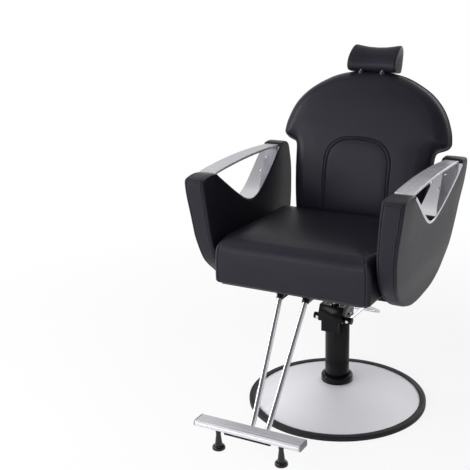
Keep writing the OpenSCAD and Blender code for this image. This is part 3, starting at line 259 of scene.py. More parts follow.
ALONG_X = (1, 0.02, 0.02)
SAND = (700.0, 5, 0.7)
LEATHER = upholstery_leather()
THREAD = seam_thread()
CHROME = chrome("polished_chrome", 0.17)
TRIM_CHROME = chrome("arm_trim_chrome", 0.03)
SATIN_CHROME = hazed(
    "satin_chrome", "chrome", (204, 203, 208), (214, 213, 218), (9.0, 3), (800.0, 2, 0.55, ALONG_X),
    0.22, (0.04, 0.06), (0.00001, 0.2), Metallic=0.28)
STAINLESS = hazed(
    "satin_stainless", "base_cover", (236, 235, 240), (243, 242, 247), (5.0, 3), (900.0, 2, 0.55, ALONG_X),
    0.48, (0.04, 0.08), (0.00002, 0.25), Metallic=0.3)
RUBBER = hazed(
    "moulded_rubber", "rubber", (13, 13, 16), (21, 21, 25), (22.0, 4), (1400.0, 3),
    0.55, (0.12, 0), (0.00012, 0.5), Specular_IOR_Level=0.4)
ENAMEL = hazed(
    "black_enamel", "black_paint", (9, 9, 11), (14, 14, 17), (16.0, 3), (420.0, 2),
    0.14, (0.08, 0), (0.00006, 0.4), Specular_IOR_Level=0.16)
ZINC = zinc_steel()
IRON = hazed(
    "cast_iron", "cast_iron", (10, 10, 12), (18, 18, 21), SAND, SAND,
    0.24, (0.16, 0), (0.0002, 0.5), Specular_IOR_Level=0.14)
ALUMINIUM = hazed(
    "extruded_aluminium", "aluminium", (202, 201, 206), (212, 211, 216), (9.0, 3),
    (160.0, 2, 0.55, (0.01, 1, 1)), 0.3, (0, 0.08), (0.000004, 0.1), Metallic=0.55)
GREY_PLASTIC = plastic("grey_end_cap_plastic", "grey_plastic", (128, 128, 132), (142, 142, 146), 0.42)
BLACK_PLASTIC = plastic("black_cable_plastic", "black_plastic", (24, 24, 26), (32, 32, 35), 0.38)
GLOSS_PLASTIC = plastic("black_foot_plastic", "rubber", (8, 8, 10), (13, 13, 16), 0.16)
PLYWOOD = plywood()


# ---- mesh helpers

WELD = 0.00002
SHARP = math.radians(42)
SCREW_SHARP = math.radians(40)
FLAT = math.radians(1)
TUBE_START = (0.31, 0.2, 0.93)


def at(table, t):
    """Value of a table of (place, value) pairs at t."""
    return np.interp(t, *zip(*table))


def smooth_at(table, t):
    """A table's value at t, with its corners rounded off."""
    return sum(at(table, np.clip(t + d, 0, 1)) for d in (-0.03, -0.015, 0, 0.015, 0.03)) / 5


def ramp(x, start, end):
    """0 up to the start and 1 past the end."""
    return np.clip((x - start) / (end - start), 0, 1)


def bell(x, width):
    return np.exp(-(x / width) ** 2)


def unit(v):
    return v / np.linalg.norm(v, axis=-1, keepdims=True)


def arc(steps):
    """Angles of a quarter turn."""
    return np.linspace(0, QUARTER, steps)


def rounded(r, steps):
    """Points of a rounded edge, each as its distances in from both of the faces that it joins."""
    return [(r * (1 - math.sin(a)), r * (1 - math.cos(a))) for a in arc(steps)]


def circle(sides):
    return np.linspace(0, 2 * math.pi, sides, endpoint=False)


def smooth_line(points, count):
    """Evenly spaced points on a smooth curve through the given ones."""
    p = np.asarray(points, float)
    padded = np.vstack([2 * p[0] - p[1], p, 2 * p[-1] - p[-2]])
    fine = []
    for i in range(len(p) - 1):
        a, b, c, d = padded[i:i + 4]
        for t in np.linspace(0, 1, 24, endpoint=False):
            fine.append(b + (c - a) * t / 2 + (2 * a - 5 * b + 4 * c - d) * t ** 2 / 2
                        + (3 * b - a - 3 * c + d) * t ** 3 / 2)
    return even_line(fine + [p[-1]], count)


def even_line(points, count):
    p = np.asarray(points, float)
    run = np.concatenate([[0], np.cumsum(np.linalg.norm(np.diff(p, axis=0), axis=1))])
    places = np.linspace(0, run[-1], count)
    return np.stack([np.interp(places, run, p[:, k]) for k in range(p.shape[1])], 1)


def mirrored(half):
    """A line's mirror image on the chair's other side, from its end back to its start."""
    return (half * ([-1] + [1] * (half.shape[1] - 1)))[::-1]


def body_of(node):
    return frame["nodes"][node]["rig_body"]


def take(name, mesh, finish, node=None, body=None):
    """Makes a mesh a piece in place of a CAD node, or an extra one on a body."""
    material, slot = finish
    mesh.materials.clear()
    mesh.materials.append(material)
    piece = in_scene(name, mesh)
    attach(piece, body or body_of(node))
    if node:
        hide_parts(node)
    return piece


def smooth_faces(mesh):
    mesh.polygons.foreach_set("use_smooth", [True] * len(mesh.polygons))


def build(name, points, faces, finish, node=None, body=None):
    """A finished piece from points in millimetres."""
    mesh = bpy.data.meshes.new(name)
    mesh.from_pydata((np.asarray(points, float) * MM).tolist(), [], faces)
    bm = bmesh.new()
    bm.from_mesh(mesh)
    bmesh.ops.remove_doubles(bm, verts=bm.verts, dist=WELD)
    bmesh.ops.recalc_face_normals(bm, faces=bm.faces)
    bm.to_mesh(mesh)
    bm.free()
    smooth_faces(mesh)
    mesh.set_sharp_from_angle(angle=SHARP)
    return take(name, mesh, finish, node, body)


def loft_faces(rings, n, closed=False, caps=True):
    """Faces between rings of n points each, with a fan at both ends or round in a circle."""
    faces = []
    for i in range(rings if closed else rings - 1):
        a, b = i * n, (i + 1) % rings * n
        faces += [(a + j, a + (j + 1) % n, b + (j + 1) % n, b + j) for j in range(n)]
    if caps and not closed:
        faces += [tuple(range(n))[::-1], tuple(range((rings - 1) * n, rings * n))]
    return faces


def skin(name, rings, finish, node=None, body=None, closed=False):
    """A finished piece whose skin runs through rings of equally many points."""
    rings = np.asarray(rings, float)
    return build(name, rings.reshape(-1, 3), loft_faces(*rings.shape[:2], closed), finish, node, body)


def tube(name, line, radius, sides, finish, node):
    """A round bar along a line, with softly rounded ends."""
    p = np.asarray(line, float)
    along = unit(np.gradient(p, axis=0))
    side = np.cross(along[0], TUBE_START)
    rings = []
    for d in along:
        side = unit(side - d * (side @ d))
        a = circle(sides)
        rings.append(np.outer(np.cos(a), side) + np.outer(np.sin(a), np.cross(d, side)))
    edge = min(1.0, radius * 0.2)
    first = [p[0] + rings[0] * (radius - edge), p[0] + along[0] * edge + rings[0] * radius]
    last = [p[-1] - along[-1] * edge + rings[-1] * radius, p[-1] + rings[-1] * (radius - edge)]
    middle = [q + ring * radius for q, ring in zip(p[1:-1], rings[1:-1])]
    return skin(name, first + middle + last, finish, node)


def result_of(thing, last=True):
    """The mesh that an object's modifiers make. The object goes with its last one."""
    depsgraph = bpy.context.evaluated_depsgraph_get()
    mesh = bpy.data.meshes.new_from_object(thing.evaluated_get(depsgraph))
    if last:
        bpy.data.objects.remove(thing)
    return mesh


def softened(node, finish, edge, angle):
    """A CAD node's shape with its edges broken, as the made piece has them."""
    bm = bmesh.new()
    bm.from_mesh(frame["nodes"][node].data)
    bmesh.ops.remove_doubles(bm, verts=bm.verts, dist=WELD)
    bmesh.ops.dissolve_limit(bm, angle_limit=FLAT, verts=bm.verts, edges=bm.edges)
    mesh = bpy.data.meshes.new(node + "_finished")
    bm.to_mesh(mesh)
    bm.free()
    smooth_faces(mesh)
    rough = in_scene("rough", mesh)
    bevel = rough.modifiers.new("broken_edges", "BEVEL")
    bevel.width = edge * MM
    bevel.segments = 2
    bevel.limit_method = "ANGLE"
    bevel.angle_limit = math.radians(angle)
    bevel.harden_normals = True
    return take(node + "_finished", result_of(rough), finish, node)


# ---- repeated details

STITCH = {"Spacing": 0.0042, "Length": 0.0032, "Thickness": 0.0009}
SCREW = {"Diameter": 0.0105, "Height": 0.009}
DOME_SHARE = 0.5
RECESS_LENGTH, RECESS_WIDTH, RECESS_DEPTH, RECESS_UP = 0.62, 0.12, 0.3, 0.28


def new_tree(name, numbers):
    """A geometry tree with named inputs, their sockets and a way to add nodes."""
    tree = bpy.data.node_groups.new(name, "GeometryNodeTree")
    kinds = {"Geometry": "Geometry", **dict.fromkeys(numbers, "Float"), "Finish": "Material"}
    for label, kind in kinds.items():
        tree.interface.new_socket(label, in_out="INPUT", socket_type="NodeSocket" + kind)
    tree.interface.new_socket("Geometry", in_out="OUTPUT", socket_type="NodeSocketGeometry")

    def node(kind, settings=None, **inputs):
        named = {key.replace("_", " "): value for key, value in inputs.items()}
        kind = kind if "Node" in kind else "GeometryNode" + kind
        return add_node(tree, kind, settings, named).outputs[0]
    return tree, tree.nodes.new("NodeGroupInput").outputs, node


def out_of_surface(node):
    return node("InputNamedAttribute", {"data_type": "FLOAT_VECTOR"}, Name="out_of_surface")


def end_tree(tree, given, node, **copies):
    """Puts the copies on the points, realizes them, gives them the finish and closes the tree."""
    placed = node("InstanceOnPoints", **copies)
    real = node("RealizeInstances", Geometry=placed)
    painted = node("SetMaterial", Geometry=real, Material=given["Finish"])
    tree.links.new(painted, tree.nodes.new("NodeGroupOutput").inputs[0])
    return tree


def stitch_tree():
    """Beads along a line, X along it and Z out of the surface."""
    tree, given, node = new_tree("stitches", STITCH)
    line = node("MeshToCurve", Mesh=given["Geometry"])
    even = node("ResampleCurve", {"mode": "LENGTH"}, Curve=line, Length=given["Spacing"])
    bead = node("MeshUVSphere", Segments=8, Rings=6, Radius=0.5)
    size = node("ShaderNodeCombineXYZ", X=given["Length"], Y=given["Thickness"], Z=given["Thickness"])
    along = node("FunctionNodeAlignRotationToVector", {"axis": "X"}, Vector=node("InputTangent"))
    turn = node("FunctionNodeAlignRotationToVector", {"axis": "Z", "pivot_axis": "X"},
                Rotation=along, Vector=out_of_surface(node))
    return end_tree(tree, given, node, Points=even, Instance=bead, Rotation=turn, Scale=size)


def screw_tree():
    """Domed screw heads with a cross recess."""
    tree, given, node = new_tree("screw_heads", SCREW)
    ball = node("MeshUVSphere", Segments=28, Rings=16, Radius=0.5)
    dome = node("Transform", Geometry=ball, Scale=(1.0, 1.0, DOME_SHARE))
    slots = [node("MeshCube", Size=(*size, RECESS_DEPTH))
             for size in ((RECESS_LENGTH, RECESS_WIDTH), (RECESS_WIDTH, RECESS_LENGTH))]
    cross = node("MeshBoolean", {"operation": "UNION"}, Mesh_2=slots[0])
    tree.links.new(slots[1], cross.node.inputs["Mesh 2"])
    raised = node("Transform", Geometry=cross, Translation=(0, 0, RECESS_UP))
    head = node("MeshBoolean", {"operation": "DIFFERENCE"}, Mesh_1=dome, Mesh_2=raised)
    size = node("ShaderNodeCombineXYZ", X=given["Diameter"], Y=given["Diameter"], Z=given["Height"])
    turn = node("FunctionNodeAlignRotationToVector", {"axis": "Z"}, Vector=out_of_surface(node))
    return end_tree(tree, given, node, Points=given["Geometry"], Instance=head, Rotation=turn, Scale=size)


STITCHES = stitch_tree()
SCREW_HEADS = screw_tree()


def repeated(name, tree, lines, settings, finish, node=None, body=None):
    """What a tree repeats on lines, each a pair of points and directions out of the surface."""
    mesh = bpy.data.meshes.new(name)
    points, edges, outs = [], [], []
    for line, out in lines:
        start = len(points)
        points += (np.asarray(line, float) * MM).tolist()
        outs += np.asarray(out, float).tolist()
        if tree is STITCHES:
            edges += [(start + i, start + i + 1) for i in range(len(line) - 1)]
    mesh.from_pydata(points, edges, [])
    mesh.attributes.new("out_of_surface", "FLOAT_VECTOR", "POINT").data.foreach_set(
        "vector", np.asarray(outs, np.float32).ravel())
    carrier = in_scene("carrier", mesh)
    modifier = carrier.modifiers.new("repeat", "NODES")
    modifier.node_group = tree
    sockets = {s.name: s.identifier for s in tree.interface.items_tree if s.in_out == "INPUT"}
    for label, value in {**settings, "Finish": finish[0]}.items():
        modifier[sockets[label]] = value
    result = result_of(carrier)
    smooth_faces(result)
    result.set_sharp_from_angle(angle=SCREW_SHARP)
    result.name = name
    return take(name, result, finish, node, body)


def stitched(name, lines, body):
    return repeated(name, STITCHES, lines, STITCH, THREAD, body=body)


# ---- blown pads

CLOTH_FRAMES = 20
CLOTH_QUALITY = 5
EVEN_ROUNDS = 36
NEIGHBOURS = 12


class Blown:
    """How far Cloth's air pressure moves a remeshed copy of a pad, read at any point of the pad."""

    def __init__(self, piece, held, cap, start_in, pressure=4.0, voxel=0.006, limit=None):
        self.piece = piece
        self.tree = None
        self.blow(held, cap * MM, start_in * MM, pressure, voxel)
        self.fill(limit)

    def blow(self, held, cap, start_in, pressure, voxel):
        piece = self.piece
        copy = in_scene(piece.name + "_copy", piece.data.copy())
        remesh = copy.modifiers.new("remesh", "REMESH")
        remesh.mode, remesh.voxel_size = "VOXEL", voxel
        copy.data = result_of(copy, last=False)
        copy.modifiers.clear()
        rest = self.corners(copy.data)
        out = self.corners(copy.data, "normal")
        edges = np.array([edge.vertices[:] for edge in copy.data.edges])
        kept = held(rest / MM)
        group = copy.vertex_groups.new(name="held")
        group.add([int(i) for i in np.nonzero(kept)[0]], 1.0, "REPLACE")
        cloth = copy.modifiers.new("cloth", "CLOTH")
        settings = cloth.settings
        settings.quality = CLOTH_QUALITY
        settings.vertex_group_mass = "held"
        settings.use_pressure = True
        settings.uniform_pressure_force = pressure
        settings.effector_weights.gravity = 0
        cloth.collision_settings.use_collision = False
        for step in range(1, CLOTH_FRAMES + 1):
            bpy.context.scene.frame_set(step)
        moved = self.corners(result_of(copy)) - rest
        bpy.context.scene.frame_set(1)
        far = np.maximum(np.linalg.norm(moved, axis=1), 1e-9)
        self.moved = moved * (cap * np.tanh(far / cap) / far)[:, None]
        self.moved -= out * np.where(kept, 0, start_in)[:, None]
        self.even_out(edges)
        self.soft = voxel * 1.5
        self.tree = KDTree(len(rest))
        for i, corner in enumerate(rest):
            self.tree.insert(corner, i)
        self.tree.balance()

    def even_out(self, edges):
        """Takes the small wrinkles out of the moves, because this leather is taut."""
        a, b = edges.T
        shared = np.bincount(edges.ravel(), minlength=len(self.moved))[:, None]
        for _ in range(EVEN_ROUNDS):
            total = np.zeros_like(self.moved)
            np.add.at(total, a, self.moved[b])
            np.add.at(total, b, self.moved[a])
            self.moved = 0.5 * self.moved + 0.5 * total / shared

    @staticmethod
    def corners(mesh, kind="co"):
        flat = np.empty(len(mesh.vertices) * 3)
        mesh.vertices.foreach_get(kind, flat)
        return flat.reshape(-1, 3)

    def at(self, points):
        """Move of each point, in millimetres, as its neighbours in the copy moved."""
        points = np.asarray(points, float)
        if self.tree is None:
            return np.zeros_like(points)
        moves = []
        for point in points * MM:
            near = self.tree.find_n(point, NEIGHBOURS)
            weights = np.array([1 / (d + self.soft) ** 2 for _, _, d in near])
            moves.append(weights @ self.moved[[i for _, i, _ in near]] / weights.sum())
        return np.array(moves) / MM

    def fill(self, limit):
        """Moves the pad's own fine mesh, whose seams stay, as its neighbours in the copy moved."""
        mesh = self.piece.data
        points = self.corners(mesh) / MM
        points += self.at(points)
        if limit:
            points = np.clip(points, *limit)
        mesh.vertices.foreach_set("co", (points * MM).ravel())
        mesh.update()


# ---- seat cushion

SEAT_HALF_W = 253
SEAT_FRONT = -360
SEAT_REAR = 104
SEAT_LOW = 494
SEAT_TOP = 629
SEAT_RISE = 9
SEAT_CROWN = 8
SEAT_CORNER = 12
SEAT_SIDE_ROLL = 20
SEAT_LOW_ROLL = 12
SEAT_FRONT_ROLL = 38
SEAT_SEAM_IN = 14
SEAT_MIDDLE = (SEAT_FRONT + SEAT_REAR) / 2
SEAT_HALF_L = (SEAT_REAR - SEAT_FRONT) / 2
SEAT_SIDE_FILL = 2.6
SEAT_SEAM_W = 1.7
SEAT_SEAM_DEPTH = 2.2
SEAT_TOP_SEAM_DEPTH = 1.2
SEAT_TOP_REACH = 186
BY_CORNER = (1.2, 2.4, 3.6, 4.8, 6.5, 9, 13, 19, 27)


def seat_outline():
    """Points round the seat's rounded rectangle, closer together near the corners."""
    r = SEAT_CORNER
    arcs = []
    for turn, (x, y) in enumerate(((1, 1), (-1, 1), (-1, -1), (1, -1))):
        a = turn * QUARTER + arc(9)
        arcs.append(np.column_stack([x * (SEAT_HALF_W - r) + r * np.cos(a),
                                     SEAT_MIDDLE + y * (SEAT_HALF_L - r) + r * np.sin(a)]))
    points = []
    for corner, following in zip(arcs, arcs[1:] + arcs[:1]):
        run = following[0] - corner[-1]
        near = np.array(BY_CORNER) / np.linalg.norm(run)
        between = np.linspace(near[-1], 1 - near[-1], 32)[1:-1]
        shares = np.concatenate([near, between, 1 - near[::-1]])
        points += [corner, corner[-1] + run * shares[:, None]]
    return np.vstack(points)


def seat_ring(inset=0, roll_angle=0, z=None):
    """One ring: at a height below the roll, or an angle along the roll, or an inset past it."""
    ring = seat_outline()
    middle = np.array([0, SEAT_MIDDLE])
    half = np.array([SEAT_HALF_W, SEAT_HALF_L])
    front = ramp(ring[:, 1], SEAT_FRONT + 60, SEAT_FRONT + 10)
    roll = SEAT_SIDE_ROLL + (SEAT_FRONT_ROLL - SEAT_SIDE_ROLL) * front
    pull = inset + roll * (1 - math.cos(roll_angle))
    ring = middle + (ring - middle) / half * (half - pull[:, None])
    if z is None:
        z = SEAT_TOP - roll * (1 - math.sin(roll_angle))
    up = ramp(z, SEAT_LOW, SEAT_TOP)
    lift = SEAT_RISE * up ** 2 * (SEAT_REAR - ring[:, 1]) / 2 / SEAT_HALF_L
    crown = SEAT_CROWN * math.sin(min(1, inset / 150) * QUARTER)
    return np.column_stack([ring, z + lift + crown])


def seat_cushion():
    low = SEAT_LOW_ROLL
    rings = [seat_ring(inset, z=SEAT_LOW - 1.2) for inset in (30, low + 2)]
    rings += [seat_ring(low * (1 - math.sin(a)), z=SEAT_LOW - 1 + low * (1 - math.cos(a)))
              for a in np.linspace(0.1, QUARTER, 8)]
    rings += [seat_ring(z=z) for z in np.linspace(SEAT_LOW + low + 4, SEAT_TOP - SEAT_FRONT_ROLL - 2, 20)]
    rings += [seat_ring(roll_angle=a) for a in arc(16)]
    rings += [seat_ring(inset, QUARTER) for inset in np.linspace(0, SEAT_TOP_REACH, 40)[1:]]
    rings = np.array(rings)
    fill_sides(rings)
    sink_seams(rings)
    cover = skin("seat_cushion_cover", rings, LEATHER, "seat_cushion")
    room = [-SEAT_HALF_W, SEAT_FRONT - 1, SEAT_LOW - 2], [SEAT_HALF_W, SEAT_REAR, np.inf]
    return Blown(cover, lambda p: p[:, 2] < SEAT_LOW + low, cap=4, start_in=2.0, pressure=2.5, limit=room)


def fill_sides(rings):
    """Fills the upright sides a little and draws them in between the corners' lower ends."""
    x, y, z = np.moveaxis(rings, 2, 0)
    fill = SEAT_SIDE_FILL * (np.sin(ramp(z, SEAT_LOW, SEAT_TOP) * math.pi) - 1)
    side = ramp(np.abs(x) / SEAT_HALF_W, 0.9, 1)
    end = ramp(np.abs(y - SEAT_MIDDLE) / SEAT_HALF_L, 0.86, 0.86 + 1 / 7)
    x += np.sign(x) * fill * side
    y += np.sign(y - SEAT_MIDDLE) * fill * end * (1 - ramp(np.abs(x), 0, SEAT_HALF_W) ** 6)


def sink_seams(rings):
    """Presses in the upright seams beside the front corners, which run on over the roll."""
    x, y, z = np.moveaxis(rings, 2, 0)
    width = x.max(axis=1, keepdims=True)
    seam = bell(np.abs(x) - width + SEAT_SEAM_IN, SEAT_SEAM_W) * ramp(y, SEAT_FRONT + 90, SEAT_FRONT + 30)
    y += SEAT_SEAM_DEPTH * seam
    z -= SEAT_TOP_SEAM_DEPTH * seam * (z > SEAT_TOP - 6)


# ---- back

BACK_LEAN = math.radians(15)
SHOULDER_Y = 215
SHOULDER_Z = 850
BACK_UP = 218
BACK_DOWN = 285
BACK_LEN = BACK_UP + BACK_DOWN
BACK_CENTRE_S = -30
SHOULDER_HALF_W = 290
WAIST_HALF_W = 240
WAIST_SHARE = 0.828
FOAM_T = 47
FOAM_EDGE_SHARE = 0.12
FOAM_ROLL = 46
FOAM_TOP_ROLL = 30
FOAM_ROLL_BLEND = (0, 200)
FOAM_SAG = 0.1
FOAM_REAR = 8
REAR_PANEL_T = 16
ARCH_HALF_W = 111
ARCH_UP = -5
ARCH_CURVE = 96
ARCH_POWER = 2.7
ARCH_SEAM = 9
SEAM_DEPTH = 2.6
BACK_WIDTH_SHARES = [
    (0, 0.66), (0.012, 0.7), (0.03, 0.735), (0.07, 0.76), (0.2, 0.79), (0.34, 0.812),
    (0.456, 0.825), (0.492, 0.835), (0.512, 0.86), (0.527, 0.925), (0.539, 0.968), (0.556, 0.992),
    (0.572, 1.000), (0.628, 0.988), (0.678, 0.962), (0.736, 0.92), (0.791, 0.862), (0.851, 0.768),
    (0.895, 0.67), (0.934, 0.55), (0.96, 0.452), (0.978, 0.352), (0.99, 0.25), (1, 0.15)]
BACK_FOAM_SHARES = [
    (0, 0.4), (0.012, 0.48), (0.03, 0.55), (0.069, 0.63), (0.12, 0.72), (0.167, 0.8), (0.24, 0.88),
    (0.324, 0.95), (0.4, 0.98), (0.461, 1.00), (0.62, 1.00), (0.676, 0.98), (0.74, 0.96), (0.794, 0.93),
    (0.85, 0.88), (0.912, 0.8), (0.95, 0.68), (0.98, 0.55), (1, 0.42)]
FOAM_SIDE_BULGE = [(0.03, -1.2), (0.15, 0.3), (0.35, 1.6), (0.6, 1.6), (0.85, 0.6)]
FOAM_RIM_INSETS = [0, 0.002, 0.006, 0.013, 0.024, 0.04, 0.06]
PANEL_EDGE = [(0, 3), (0, 0.4), (4, 0), (9, 0), (12, 1.2), (13.8, 3.4), (15.1, 7), (16, 13)]
ARCH_SWELL = 2.0
ARCH_BAND_SWELL = 1.4
SEAM_W = 1.9
WELT_R = 2.6
BACK_CENTRE = np.array([0.0, BACK_CENTRE_S])
BACK_OUT = np.array([0, -math.cos(BACK_LEAN), math.sin(BACK_LEAN)])
OUTLINE_POINTS, FINE_OUTLINE_POINTS = 190, 250


def on_back(x, n, s):
    """Point of the back: across, out of its front and up along it."""
    c, d = math.cos(BACK_LEAN), math.sin(BACK_LEAN)
    x, n, s = np.broadcast_arrays(np.asarray(x, float), n, s)
    return np.stack([x, SHOULDER_Y - n * c + s * d, SHOULDER_Z + n * d + s * c], -1)


def back_outline(count=OUTLINE_POINTS):
    """Outline of the back from its bottom middle round to the right and back."""
    right = []
    for t, share in BACK_WIDTH_SHARES:
        w = WAIST_HALF_W * share / WAIST_SHARE if t < 0.5 else SHOULDER_HALF_W * share
        right.append((w, -BACK_DOWN + BACK_LEN * t))
    half = [(0, -BACK_DOWN), (right[0][0] * 0.6, -BACK_DOWN)] + right + [(0, BACK_UP)]
    half = smooth_line(half, count)
    return np.vstack([half[:-1], mirrored(half)[:-1]])


def arch_measure(x, s):
    """Signed distance from the arch's line, positive outside it."""
    up = np.maximum(0, s - (ARCH_UP - ARCH_CURVE)) / ARCH_CURVE
    r = ((np.abs(x) / ARCH_HALF_W) ** ARCH_POWER + up ** ARCH_POWER) ** (1 / ARCH_POWER)
    return (r - 1) * np.where(up > 0, ARCH_CURVE, ARCH_HALF_W)


def foam_height(x, s, edge_gap):
    """Height of the foam over the board, with the arch's double seam and its swell."""
    width = np.minimum(1, np.abs(x) / SHOULDER_HALF_W)
    full = FOAM_T * smooth_at(BACK_FOAM_SHARES, (s + BACK_DOWN) / BACK_LEN)
    full = full * (1 - FOAM_SAG * width ** 2.6)
    rim = FOAM_EDGE_SHARE * full
    top = ramp(s, *FOAM_ROLL_BLEND)
    roll = FOAM_ROLL + (FOAM_TOP_ROLL - FOAM_ROLL) * top * top * (3 - 2 * top)
    q = np.clip(1 - edge_gap / roll, 0, 1)
    g = arch_measure(x, s)
    swell = ARCH_SWELL * (1 - bell(np.maximum(0, -g), 14)) + ARCH_BAND_SWELL * bell(g, 2.4)
    seams = SEAM_DEPTH * bell(np.abs(g) - ARCH_SEAM / 2, SEAM_W)
    return rim + (full - rim) * np.sqrt(1 - q * q) + (swell - seams) * ramp(edge_gap, 0, 14)


def gap_to(outline, points):
    """Distance of each point from a closed outline."""
    a, b = outline, np.roll(outline, -1, axis=0)
    best = np.full(len(points), 1e9)
    for p, q in zip(a, b):
        d = q - p
        t = np.clip(((points - p) @ d) / max(d @ d, 1e-9), 0, 1)
        best = np.minimum(best, np.linalg.norm(points - (p + t[:, None] * d), axis=1))
    return best


def grown(outline, by):
    """A closed outline of the back moved away from its centre, by millimetres."""
    spokes = outline - BACK_CENTRE
    return BACK_CENTRE + spokes * (1 + by / np.hypot(*spokes.T))[:, None]


def shrunk(outline, share):
    return BACK_CENTRE + (outline - BACK_CENTRE) * share


def on_back_at(height, flat):
    return on_back(flat[:, 0], height, flat[:, 1])


def back_cushion():
    outline = back_outline(FINE_OUTLINE_POINTS)
    n = len(outline)
    insets = np.concatenate([FOAM_RIM_INSETS, np.linspace(0.08, 1, 150)[:-1]])
    flat = np.vstack([shrunk(outline, 1 - inset) for inset in insets])
    height = foam_height(*flat.T, gap_to(outline, flat))
    side = [on_back_at(-FOAM_REAR + (height[:n] + FOAM_REAR) * share, grown(outline, bulge))
            for share, bulge in FOAM_SIDE_BULGE]
    top = foam_height(*(np.array([v]) for v in (0.0, BACK_CENTRE_S, 200.0)))[0]
    points = np.vstack([on_back_at(-FOAM_REAR, shrunk(outline, 0.985)), *side, on_back_at(height, flat),
                        on_back(0, top, BACK_CENTRE_S)[None]])
    rings = 1 + len(side) + len(insets)
    faces = loft_faces(rings, n, caps=False)
    last = (rings - 1) * n
    faces += [(last + i, last + (i + 1) % n, rings * n) for i in range(n)]
    faces.append(tuple(range(n))[::-1])
    cover = build("back_cushion_cover", points, faces, LEATHER, "back_cushion")
    return Blown(cover, lambda p: (p - on_back(0, -4, 0)) @ BACK_OUT < 0, cap=3.5, start_in=1.8, pressure=2)


def arch_line(offset, blown):
    """Points of the arch's seam line, offset outwards, with the directions out of the foam."""
    half, curve, foot = ARCH_HALF_W + offset, ARCH_CURVE + offset, ARCH_UP - ARCH_CURVE
    corner = [(half * math.cos(a) ** (2 / ARCH_POWER), foot + curve * math.sin(a) ** (2 / ARCH_POWER))
              for a in arc(40)]
    low = [(half, s) for s in np.linspace(-BACK_DOWN + 34, foot, 30)[:-1]]
    right = np.array(low + corner)
    line = even_line(np.vstack([right, mirrored(right)[1:]]), 260)
    height = foam_height(*line.T, gap_to(back_outline(), line)) + 0.2
    line = on_back_at(height, line)
    return line + blown.at(line), np.tile(BACK_OUT, (len(line), 1))


def rear_panel():
    """Upholstered board behind the back, slightly cushioned."""
    outline = back_outline()
    rings = [on_back_at(-FOAM_REAR - 0.1 - level, grown(outline, -inward - 3))
             for level, inward in PANEL_EDGE]
    rings += [on_back_at(-FOAM_REAR - REAR_PANEL_T, shrunk(outline, share))
              for share in np.linspace(0.94, 0.02, 22)]
    return skin("back_rear_cover", rings, LEATHER, "back_panel")


def back_welt():
    line = on_back_at(-FOAM_REAR - 0.2, back_outline() * [0.998, 1])
    side = np.cross(unit(np.roll(line, -1, axis=0) - np.roll(line, 1, axis=0)), BACK_OUT)
    a = circle(10)[:, None]
    rings = line[:, None] + WELT_R * (np.cos(a) * side[:, None] + np.sin(a) * BACK_OUT)
    return skin("back_welt", rings, LEATHER, body="backrest", closed=True)


# ---- headrest

HEAD_W = 168
HEAD_H = 92
HEAD_DEPTH = 76
HEAD_FRONT = 24
HEAD_LOW = BACK_UP + 0.5
HEAD_PROFILE_SHARES = [
    (0.12, 0.03), (0.3, 0.00), (0.55, 0.00), (0.76, 0.01), (0.9, 0.05), (0.98, 0.14), (1.00, 0.25),
    (0.97, 0.38), (0.88, 0.53), (0.74, 0.69), (0.56, 0.85), (0.38, 0.96), (0.22, 1.00), (0.1, 0.97),
    (0.03, 0.88), (0.00, 0.72), (0.00, 0.4), (0.02, 0.2), (0.06, 0.09)]
HEAD_SECTION_SHARES = [
    (0, 0.915), (0.35, 0.93), (0.65, 0.968), (0.86, 1), (0.94, 1), (0.975, 0.98), (0.992, 0.93), (1, 0.84)]
HEAD_SEAM_SHARE = 0.86
HEAD_SEAM_W = 0.011
HEAD_SEAM_DEPTH = 0.02
HEAD_PIVOT = 0.12


def headrest_ring(share, seam=0.0):
    """Section of the pad at a share of its half width, smaller towards the ends and at a seam."""
    closed = np.array(HEAD_PROFILE_SHARES + HEAD_PROFILE_SHARES[:1])
    depth, up = smooth_line(closed, 97)[:-1].T
    q = 1 - at(HEAD_SECTION_SHARES, abs(share))
    y = (depth - 0.5) * (1 - q * 0.8 - seam) + 0.5
    z = (up - HEAD_PIVOT - seam * 0.4) * (1 - q - seam) + HEAD_PIVOT + seam * 0.4
    return on_back(share * HEAD_W / 2, HEAD_FRONT - HEAD_DEPTH * (1 - y), HEAD_LOW + HEAD_H * z)


def headrest():
    by_seams = [HEAD_SEAM_SHARE * k + np.linspace(-0.03, 0.03, 7) for k in (-1, 1)]
    by_ends = [-0.997, -0.985, 0.985, 0.997]
    places = sorted(set(np.concatenate([np.linspace(-1, 1, 61), by_ends, *by_seams])))
    rings = [headrest_ring(share, HEAD_SEAM_DEPTH * bell(abs(share) - HEAD_SEAM_SHARE, HEAD_SEAM_W))
             for share in places]
    cover = skin("headrest_cover", rings, LEATHER, "headrest_pad")
    return Blown(cover, lambda p: p[:, 2] < 0, cap=2, start_in=0.3, voxel=0.004)


def headrest_stitches(blown):
    lines = []
    for side in (-1, 1):
        for off in (-0.032, 0.032):
            ring = headrest_ring(side * HEAD_SEAM_SHARE + off)
            out = ring - ring.mean(0)
            ring = ring + blown.at(ring)
            lines.append((np.vstack([ring, ring[:1]]), np.vstack([out, out[:1]])))
    return stitched("headrest_stitches", lines, "headrest")


# ---- arms

